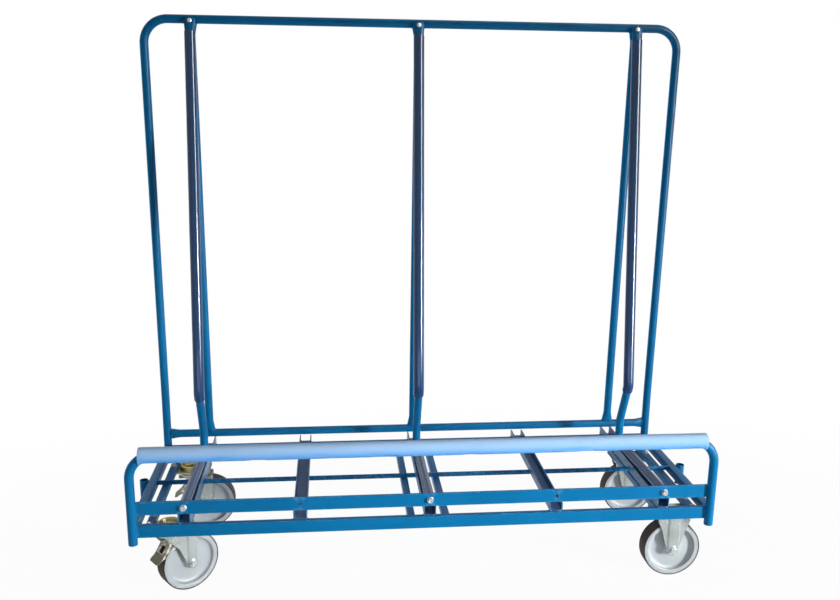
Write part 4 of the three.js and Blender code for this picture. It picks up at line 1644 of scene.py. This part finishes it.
@dataclass
class ForkLeg:
    """One pressed steel leg: a proud flat face between creases, low wings and turned-in edges."""

    inner: float = 0.0305
    sheet: float = 0.0030
    proud: float = 0.0030
    sunk: float = 0.0022
    crease: float = 0.0090
    turn_in: float = 0.0052
    toe: float = 0.0200
    boss: float = 0.0158
    boss_wall: float = 0.0034
    full_width: float = 0.040
    wing: float = 0.0035
    face: Pair = (-0.0150, 0.0150)

    @property
    def front(self) -> float:
        """Height of the proud face over the wheel's middle."""
        return self.inner + self.sheet + self.proud

    def room(self, left: float, right: float) -> float:
        """Share of its full folds that a row has room for."""
        return min(1.0, (right - left) / self.full_width)

    def section(self, left: float, right: float) -> list[Triple]:
        """Outer side of the sheet in one row.

        Args:
            left: Left edge of the leg there.
            right: Right edge of the leg there.

        Returns:
            Place, height over the plain sheet and edge mark of each point.
        """
        room = self.room(left, right)
        first = max(self.face[0], left + self.wing * room)
        last = min(self.face[1], right - self.wing * room)
        base, top, turn = -self.sunk * room, self.proud, self.turn_in * room
        halves: tuple[list[Triple], list[Triple]] = ([], [])
        for points, edge, crease, sign in ((halves[0], left, first, 1), (halves[1], right, last, -1)):
            step = min(self.crease, abs(crease - edge) * 0.55)
            wing = crease - sign * step
            points += [(edge + sign * 0.0004 * room, base - turn, 0.5), (edge, base - turn * 0.5, 0.7),
                       (edge + sign * 0.0005 * room, base - 0.0010 * room, 1.0),
                       (edge + sign * min(0.0020 * room, abs(wing - edge) * 0.7), base, 0.6),
                       (wing - sign * step * 0.10, base, 0.0),
                       (wing + sign * step * 0.12, base * 0.92, 0.0),
                       (crease - sign * step * 0.14, top * 0.90, 0.1),
                       (crease + sign * step * 0.10, top, 0.3)]
        return [*halves[0], ((first + last) / 2, top, 0.0), *reversed(halves[1])]

    def sheet_grid(self, draft: Draft, seat: Seat, side: int, rows: Sequence[Triple]) -> None:
        """Adds the leg as a closed sheet.

        Args:
            draft: Where it goes.
            seat: Place of the caster on the floor; across runs forward, up is up.
            side: Which leg, by the sign of its place along the axle.
            rows: Height, left edge and right edge of each row from the top down.
        """
        near: list[list[int]] = []
        far: list[list[int]] = []
        level = self.inner + self.sheet
        for height, left, right in rows:
            line = self.section(left, right)
            room = self.room(left, right)
            near.append(draft.ring([seat.at(x, height, side * (level + out)) for x, out, _ in line],
                                   [mark for _, _, mark in line]))
            back = []
            for index, (x, out, _) in enumerate(line):
                ahead, behind = line[min(index + 1, len(line) - 1)], line[max(index - 1, 0)]
                run = Vector((ahead[0] - behind[0], ahead[1] - behind[1])).normalized() * self.sheet
                back.append(seat.at(x + run.y * room, height, side * (level + out - run.x)))
            far.append(draft.ring(back))
        draft.close_sheet(near, far)

    def toe_boss(self, draft: Draft, seat: Seat) -> None:
        """Adds the raised rim around the axle bolt on both legs.

        Args:
            draft: Where it goes.
            seat: Middle of the wheel on the axle; it runs along the axle.
        """
        for side in (-1, 1):
            face = Seat(seat.at(0, 0, side * self.front), seat.across * side, seat.up)
            outer, inner = self.boss, self.boss - self.boss_wall
            rim = [(inner, -0.0020, 0.0), (outer, -0.0020, 0.0), (outer, 0.0006, 0.4),
                   (outer - 0.0008, 0.0013, 0.9), (outer - 0.0022, 0.0013, 0.9), (inner, 0.0004, 0.3)]
            lathe(draft, face, rim, 40, closed=True)


def leg_rows(corners: Sequence[Triple], toe_x: float, axle: float, toe: float,
             step: float = 0.005, toe_steps: int = 8) -> list[Triple]:
    """Rows of a fork leg from its top to its round toe.

    Args:
        corners: Height, left edge and right edge at the outline's corners, from the top down.
        toe_x: Middle of the toe.
        axle: Height of the axle.
        toe: Radius of the toe.
        step: Height between rows.
        toe_steps: Rows of the round toe.

    Returns:
        Height, left edge and right edge of each row.
    """
    rows = []
    stops = [*corners, (axle, toe_x - toe, toe_x + toe)]
    for (top, left, right), (foot, next_left, next_right) in zip(stops, stops[1:]):
        count = max(1, round((top - foot) / step))
        for index in range(count):
            share = index / count
            rows.append((top + (foot - top) * share, left + (next_left - left) * share,
                         right + (next_right - right) * share))
    for index in range(toe_steps + 1):
        angle = math.pi / 2 * index / (toe_steps + 0.4)
        half = toe * math.cos(angle)
        rows.append((axle - toe * math.sin(angle), toe_x - half, toe_x + half))
    return rows


@dataclass
class Caster:
    """What both kinds of caster have: a plate with its bolts, and a wheel."""

    row: Row
    plate: Pair = (0.146, 0.096)
    plate_corner: float = 0.010
    plate_thickness: float = 0.0040
    axle: float = 0.100
    bolt_x: float = 0.058
    bolt_y: float = 0.035
    bar_height: float = 0.025
    fork_crease: float = 24.0
    wheel: Wheel = field(default_factory=Wheel)

    @staticmethod
    def stand(node: str) -> tuple[Vector, float]:
        """Place on the floor under a node's middle, and the height of the node's top."""
        middle = middle_of(node)
        return Vector((middle.x, middle.y, 0.0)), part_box(node)[1].z

    def add_plate(self, draft: Draft, foot: Vector, level: float) -> None:
        """Adds the plate under the given height."""
        base = Vector((foot.x, foot.y, level - self.plate_thickness))
        slab(draft, Seat(base, X_AXIS, Y_AXIS), self.plate, self.plate_corner, self.plate_thickness)

    def plate_bolts(self, label: str, foot: Vector, level: float) -> None:
        """Builds the bolts that hold the plate to the lower bars.

        Args:
            label: The caster's name.
            foot: Place of the caster on the floor.
            level: Height of the plate's top.
        """
        draft = Draft()
        for sx in (-1, 1):
            for sy in (-1, 1):
                place = Vector((foot.x + sx * self.bolt_x, foot.y + sy * self.bolt_y, level))
                nut = Seat(place + Z_AXIS * self.bar_height, X_AXIS, Y_AXIS)
                PLATE_NUT.add(draft, nut)
                lathe(draft, nut, [(0.0050, 0.0, 0.0), (0.0050, 0.0105, 0.4), (0.0042, 0.0120, 0.8)], 16)
                PLATE_BOLT.add(draft, Seat(place - Z_AXIS * self.plate_thickness, X_AXIS, -Y_AXIS))
        draft.piece(f"plate_bolts_{label}", "frame", BRIGHT)


@dataclass
class RigidCaster(Caster):
    """Caster whose fork is welded to its plate."""

    leg: ForkLeg = field(default_factory=ForkLeg)

    def build(self) -> None:
        """Builds the fork, its bolts and the wheel."""
        label = f"{self.row.label}_right"
        foot, level = self.stand(f"fork_{label}")
        top = level - self.plate_thickness
        corners = [(top + 0.001, -0.056, 0.056), (top - 0.026, -0.056, 0.056), (0.170, -0.041, 0.041),
                   (0.132, -0.031, 0.031)]
        rows = leg_rows(corners, 0.0, self.axle, self.leg.toe)
        draft = Draft()
        for side in (-1, 1):
            self.leg.sheet_grid(draft, Seat(foot, X_AXIS, Z_AXIS), side, rows)
        hub = Seat(foot + Z_AXIS * self.axle, X_AXIS, Z_AXIS)
        self.leg.toe_boss(draft, hub)
        self.add_plate(draft, foot, level)
        draft.piece(f"fork_{label}_pressing", "frame", ZINC, f"fork_{label}", crease=self.fork_crease)
        self.plate_bolts(label, foot, level)
        self.wheel.build(label, hub, f"wheel_{label}", "frame")


@dataclass
class BrakePedal:
    """Brake pedal: folded sheet with a slot, turned edges and a flared, ribbed toe."""

    pivot_x: float = -0.014
    pivot_z: float = 0.195
    length: float = 0.083
    half: float = 0.028
    slope: float = 56.0
    sheet: float = 0.0028
    top: float = -0.0042
    bend: float = 0.050
    toe_rows: int = 18
    toe_columns: int = 15
    toe_rise: float = 0.0090
    toe_round: float = 0.0070
    round_start: float = 0.72
    rib: float = 0.0005
    crease: float = 32.0

    def build(self, label: str, seat: Seat) -> None:
        """Builds the pedal's plate and its toe.

        Args:
            label: The caster's name.
            seat: Place of the caster on the floor; across points to the wheel.
        """
        slope = math.radians(self.slope)
        down = seat.across * -math.cos(slope) - Z_AXIS * math.sin(slope)
        out = seat.across * -math.sin(slope) + Z_AXIS * math.cos(slope)
        pin = Seat(seat.at(self.pivot_x, self.pivot_z), down, out)
        self.plate(label, pin)
        self.toe(label, pin)

    def plate(self, label: str, pin: Seat) -> None:
        """Builds the plate with its slot, its turned edges and the pin.

        Args:
            label: The caster's name.
            pin: The pivot: across runs down the pedal, up points out of it and the seat runs along the pin.
        """
        half, bend, top = self.half, self.bend, self.top
        outer = [(-0.004, -half * 0.90), (0.010, -half + 0.0004), (0.030, -half), (bend + 0.004, -half),
                 (bend + 0.006, -0.010)]
        inner = [(0.0210, -0.0090), (0.0218, -0.0100), (0.0340, -0.0106), (0.0458, -0.0100),
                 (0.0470, -0.0076)]
        outline, slot = (line + [(a, -c) for a, c in reversed(line)] for line in (outer, inner))
        draft = Draft()
        rings = []
        for section, height, mark in ((slot, top - self.sheet, 0.0), (slot, top, 1.0), (outline, top, 0.6),
                                      (outline, top - self.sheet, 0.4)):
            rings.append(draft.ring([pin.at(a, height, c) for a, c in section], mark))
        draft.skin(rings, closed=True)
        wall = [(0.002, top + 0.0002), (bend, top + 0.0002), (bend + 0.016, top + 0.0004),
                (bend + 0.004, top - 0.0080), (0.008, top - 0.0100)]
        # The turned edges carry a high edge mark, which the olive finish shows near-white: partly wear,
        # partly a painted highlight.
        for sign in (-1, 1):
            draft.skin([draft.ring([pin.at(a, h, sign * (half - depth)) for a, h in wall], 0.9)
                        for depth in (-0.0002, 0.0018)])
        for radius, reach, sides in ((0.0050, 0.0262, 28), (0.0030, 0.0344, 20)):
            lathe(draft, pin, [(radius, -reach, 0.6), (radius, reach, 0.6)], sides)
        draft.piece(f"pedal_{label}_pressing", f"pedal_{label}", OLIVE, f"brake_pedal_{label}",
                    crease=self.crease)

    def toe(self, label: str, pin: Seat) -> None:
        """Builds the toe: it flares outward and is ribbed against slipping.

        Args:
            label: The caster's name.
            pin: The pivot, as for the plate.
        """
        draft = Draft()
        near, far = [], []
        spots = [2 * column / self.toe_columns - 1 for column in range(self.toe_columns + 1)]
        for row in range(self.toe_rows + 1):
            share = row / self.toe_rows
            along = self.bend + (self.length - self.bend) * share
            height = self.top + self.toe_rise * share * share
            rounding = max(0.0, share - self.round_start) / (1 - self.round_start)
            half = self.half - self.toe_round * rounding * rounding
            rib = self.rib if 2 < row < self.toe_rows - 1 and row % 3 == 0 else 0.0
            at_end = row in (0, self.toe_rows)
            marks = [1.0 if at_end or abs(spot) == 1 else 0.5 if rib else 0.0 for spot in spots]
            near.append(draft.ring([pin.at(along, height + (rib if abs(spot) < 0.9 else 0.0), half * spot)
                                    for spot in spots], marks))
            far.append(draft.ring([pin.at(along, height - self.sheet, half * spot) for spot in spots]))
        draft.close_sheet(near, far)
        draft.piece(f"pedal_{label}_toe", f"pedal_{label}", OLIVE_TREAD, crease=self.crease)


@dataclass
class SwivelCaster(Caster):
    """Caster that turns under its plate and carries a brake pedal."""

    turn: float = 0.0
    trail: float = 0.060
    crown_top: float = 0.212
    crown_sheet: float = 0.004
    crown_back: float = 0.046
    crown_front: float = 0.080
    crown_corner: float = 0.006
    crown_chamfer: float = 0.0012
    race: float = 0.044
    ring_outer: float = 0.040
    ring_inner: float = 0.026
    ring_rise: float = 0.019
    kingpin: float = 0.0068
    running_gap: float = 0.0003
    head_crease: float = 32.0
    leg: ForkLeg = field(default_factory=lambda: ForkLeg(face=(0.0500, 0.0765)))
    pedal: BrakePedal = field(default_factory=BrakePedal)

    def build(self) -> None:
        """Builds the plate, the fork, the wheel and the pedal."""
        label = f"{self.row.label}_left"
        foot, height = self.stand(f"swivel_plate_{label}")
        level = height - self.ring_rise
        angle = math.radians(self.turn)
        ahead = Vector((math.cos(angle), math.sin(angle), 0.0))
        seat = Seat(foot, ahead, Z_AXIS)
        self.head(label, foot, level)
        self.fork(label, seat)
        self.plate_bolts(label, foot, level)
        hub = Seat(seat.at(self.trail, self.axle), ahead, Z_AXIS)
        self.wheel.build(label, hub, f"wheel_{label}", f"swivel_{label}")
        self.pedal.build(label, seat)

    def head(self, label: str, foot: Vector, level: float) -> None:
        """Builds the fixed plate with its pressed ring and race.

        Args:
            label: The caster's name.
            foot: Place of the caster on the floor.
            level: Height of the plate's top.
        """
        seat = Seat(foot, X_AXIS, Y_AXIS)
        low = self.crown_top + self.running_gap
        race = [(self.ring_inner - 0.006, low + 0.002, 0.0), (self.race - 0.004, low, 0.4),
                (self.race, low + 0.003, 0.8), (self.race, low + 0.009, 0.6),
                (self.race - 0.0025, low + 0.0115, 0.0), (self.race, low + 0.014, 0.5),
                (self.race - 0.001, level - 0.002, 0.2), (self.ring_inner - 0.006, level - 0.002, 0.0)]
        under_race = Draft()
        lathe(under_race, seat, race, 64, closed=True)
        under_race.piece(f"swivel_race_{label}", "frame", ZINC, crease=self.head_crease)
        draft = Draft()
        self.add_plate(draft, foot, level)
        top, outer, inner = level + self.ring_rise, self.ring_outer, self.ring_inner
        ring = [(inner - 0.003, level + 0.004, 0.0), (inner + 0.002, level + 0.0055, 0.0),
                (inner + 0.005, top - 0.0050, 0.2), (inner + 0.0075, top - 0.0008, 0.8),
                (outer - 0.0030, top - 0.0004, 1.0), (outer - 0.0006, top - 0.0030, 0.7),
                (outer, level + 0.0050, 0.2), (outer + 0.0020, level + 0.0006, 0.0),
                (outer + 0.0020, level - 0.001, 0.0), (inner - 0.003, level - 0.001, 0.0)]
        lathe(draft, seat, ring, 64, closed=True)
        lathe(draft, seat, [(self.kingpin, self.crown_top - 0.009, 0.0), (self.kingpin, top - 0.0030, 0.6),
                            (self.kingpin - 0.0016, top - 0.0014, 0.8)], 24)
        under = self.crown_top - self.crown_sheet - self.running_gap
        KINGPIN_NUT.add(draft, Seat(foot + Z_AXIS * under, X_AXIS, -Y_AXIS))
        draft.piece(f"swivel_head_{label}", "frame", GOLD, f"swivel_plate_{label}", crease=self.head_crease)

    def fork(self, label: str, seat: Seat) -> None:
        """Builds the turning fork: crown and two pressed legs.

        Args:
            label: The caster's name.
            seat: Place of the caster on the floor; across points to the wheel.
        """
        draft = Draft()
        toe = self.trail + self.leg.toe
        corners = [(self.crown_top - 0.0015, -0.0200, toe), (0.1900, -0.0200, toe), (0.1885, -0.0105, toe),
                   (0.1570, 0.0190, toe)]
        rows = leg_rows(corners, self.trail, self.axle, self.leg.toe)
        for side in (-1, 1):
            self.leg.sheet_grid(draft, seat, side, rows)
        self.leg.toe_boss(draft, Seat(seat.at(self.trail, self.axle), seat.across, Z_AXIS))
        middle = (self.crown_front - self.crown_back) / 2
        crown = Seat(seat.at(middle, self.crown_top - self.crown_sheet), seat.across, seat.along * -1)
        size = (self.crown_front + self.crown_back, 2 * (self.leg.inner + self.leg.sheet))
        slab(draft, crown, size, self.crown_corner, self.crown_sheet, self.crown_chamfer)
        draft.piece(f"fork_{label}_pressing", f"swivel_{label}", ZINC, f"fork_{label}",
                    crease=self.fork_crease)


@dataclass(frozen=True)
class Lamp:
    """A soft rectangular lamp."""

    name: str
    place: Triple
    target: Triple
    size: Pair
    power: float
    spread: float = 180.0
    lights_surfaces: bool = True
    shows_in_gloss: bool = True

    def hang(self) -> None:
        """Adds the lamp to the scene."""
        data = bpy.data.lights.new(self.name, "AREA")
        data.shape = "RECTANGLE"
        data.size, data.size_y = self.size
        data.energy = self.power
        data.spread = math.radians(self.spread)
        made = bpy.data.objects.new(self.name, data)
        made.location = self.place
        made.rotation_euler = (Vector(self.target) - made.location).to_track_quat("-Z", "Y").to_euler()
        made.visible_diffuse = self.lights_surfaces
        made.visible_glossy = self.shows_in_gloss
        bpy.context.scene.collection.objects.link(made)


LAMPS = (
    Lamp("key_lamp", (5.2, -3.6, 0.9), (0.0, -0.1, 0.0), (0.7, 1.2), power=34.0, spread=44.0),
    Lamp("gloss_lamp", (3.2, -1.9, 2.3), (0.0, 0.0, 1.4), (1.2, 4.4), power=600.0, lights_surfaces=False),
    Lamp("top_lamp", (0.8, 0.6, 4.5), (0.0, 0.0, 0.3), (2.5, 2.5), power=28.0),
    Lamp("fill_lamp", (-0.2, -2.1, 0.40), (0.0, -0.3, 0.32), (2.6, 0.5), power=2.4, spread=80.0),
    Lamp("back_lamp", (0.0, 5.0, 0.9), (0.0, 0.0, 0.8), (3.0, 1.6), power=160.0, shows_in_gloss=False),
    Lamp("left_lamp", (-5.0, 1.5, 0.9), (0.0, 0.0, 0.6), (2.0, 1.4), power=100.0, shows_in_gloss=False),
)


@dataclass
class Studio:
    """Floor, light and camera."""

    camera_place: Triple = (-0.3119, -2.9710, 1.6361)
    focal_pixels: float = 884.146
    frame_pixels: float = 840.0
    sensor: float = 36.0
    sight: float = 200.0
    yaw: float = 5.789
    pitch: float = 13.278
    roll: float = 0.773
    floor_half: float = 40.0
    floor_tone: float = 0.86
    floor_stretch: float = 0.55
    near_edge: float = 0.5
    near_white: float = 0.95
    far_white: float = 1.7
    ambient: float = 0.10

    def build(self) -> None:
        """Builds the stage."""
        self.floor()
        self.world()
        for lamp in LAMPS:
            lamp.hang()
        self.camera()

    @staticmethod
    def show_white(desk: NodeDesk) -> object:
        """The share of rays that see the plain white background.

        Args:
            desk: Desk of a material's or the world's tree.

        Returns:
            A socket that is 1 for camera, glossy and transmission rays.
        """
        path = desk.add("ShaderNodeLightPath").outputs
        seen = desk.math("MAXIMUM", path["Is Camera Ray"], path["Is Glossy Ray"])
        return desk.math("MAXIMUM", seen, path["Is Transmission Ray"])

    def floor(self) -> None:
        """Builds the pale floor: it takes shadows near the cart and is plain white far out."""
        mesh = bpy.data.meshes.new("studio_floor")
        half = self.floor_half
        corners = [(-half, -half, 0), (half, -half, 0), (half, half, 0), (-half, half, 0)]
        mesh.from_pydata(corners, [], [(0, 1, 2, 3)])
        made = bpy.data.objects.new("studio_floor", mesh)
        bpy.context.scene.collection.objects.link(made)
        tone = bpy.data.materials.new("floor_white")
        tone.use_nodes = True
        desk = NodeDesk(tone.node_tree)
        nodes = tone.node_tree.nodes
        shader = nodes["Principled BSDF"]
        shader.inputs["Base Color"].default_value = rgba((self.floor_tone,) * 3)
        shader.inputs["Roughness"].default_value = 0.9
        shader.inputs["Specular IOR Level"].default_value = 0.0
        glow = desk.add("ShaderNodeEmission")
        blend = desk.add("ShaderNodeMixShader")
        place = desk.add("ShaderNodeSeparateXYZ")
        desk.join(desk.add("ShaderNodeNewGeometry").outputs["Position"], place.inputs[0])
        wide = desk.math("MULTIPLY", place.outputs[0], self.floor_stretch)
        away = desk.math("SQRT", desk.math("ADD", desk.math("MULTIPLY", wide, wide),
                                           desk.math("MULTIPLY", place.outputs[1], place.outputs[1])))
        white = desk.ramp(away, self.near_edge, self.far_white, self.near_white, 1.0)
        desk.join(desk.math("MULTIPLY", self.show_white(desk), white), blend.inputs[0])
        desk.join(shader.outputs[0], blend.inputs[1])
        desk.join(glow.outputs[0], blend.inputs[2])
        desk.join(blend.outputs[0], nodes["Material Output"].inputs["Surface"])
        mesh.materials.append(tone)

    def world(self) -> None:
        """Sets the white background and the even light from all round."""
        world = bpy.data.worlds.new("studio")
        bpy.context.scene.world = world
        world.use_nodes = True
        desk = NodeDesk(world.node_tree)
        nodes = world.node_tree.nodes
        nodes.clear()
        light, white = (desk.add("ShaderNodeBackground") for _ in range(2))
        for shader, strength in ((light, self.ambient), (white, 1.0)):
            shader.inputs["Color"].default_value = WHITE
            shader.inputs["Strength"].default_value = strength
        blend = desk.add("ShaderNodeMixShader")
        desk.join(self.show_white(desk), blend.inputs[0])
        desk.join(light.outputs[0], blend.inputs[1])
        desk.join(white.outputs[0], blend.inputs[2])
        desk.join(blend.outputs[0], desk.add("ShaderNodeOutputWorld").inputs["Surface"])

    def camera(self) -> None:
        """Places the camera as in the photograph."""
        yaw, pitch, roll = (math.radians(a) for a in (self.yaw, self.pitch, self.roll))
        ahead = Vector((math.sin(yaw) * math.cos(pitch), math.cos(yaw) * math.cos(pitch), -math.sin(pitch)))
        level = Vector((math.cos(yaw), -math.sin(yaw), 0.0))
        above = level.cross(ahead)
        right = level * math.cos(roll) + above * math.sin(roll)
        up = above * math.cos(roll) - level * math.sin(roll)
        data = bpy.data.cameras.new("camera")
        data.sensor_fit = "HORIZONTAL"
        data.sensor_width = self.sensor
        data.lens = self.sensor * self.focal_pixels / self.frame_pixels
        data.clip_end = self.sight
        made = bpy.data.objects.new("camera", data)
        turn = Matrix((right, up, -ahead)).transposed().to_4x4()
        made.matrix_world = Matrix.Translation(self.camera_place) @ turn
        bpy.context.scene.collection.objects.link(made)
        bpy.context.scene.camera = made


def main() -> None:
    """Builds the cart and its stage."""
    logging.basicConfig(level=logging.INFO, format="%(name)s %(message)s")
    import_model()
    bpy.context.scene.view_settings.view_transform = "Standard"
    assemblies = [DeckFrame(), KickBar(), GuardHoop(), RearFrame(), Carriers(), Welds(),
                  RigidCaster(Row.FRONT), RigidCaster(Row.REAR),
                  SwivelCaster(Row.FRONT, turn=36.0), SwivelCaster(Row.REAR, turn=4.0)]
    for assembly in assemblies:
        LOG.info("building %s", type(assembly).__name__)
        assembly.build()
    Studio().build()


if __name__ == "__main__":
    main()
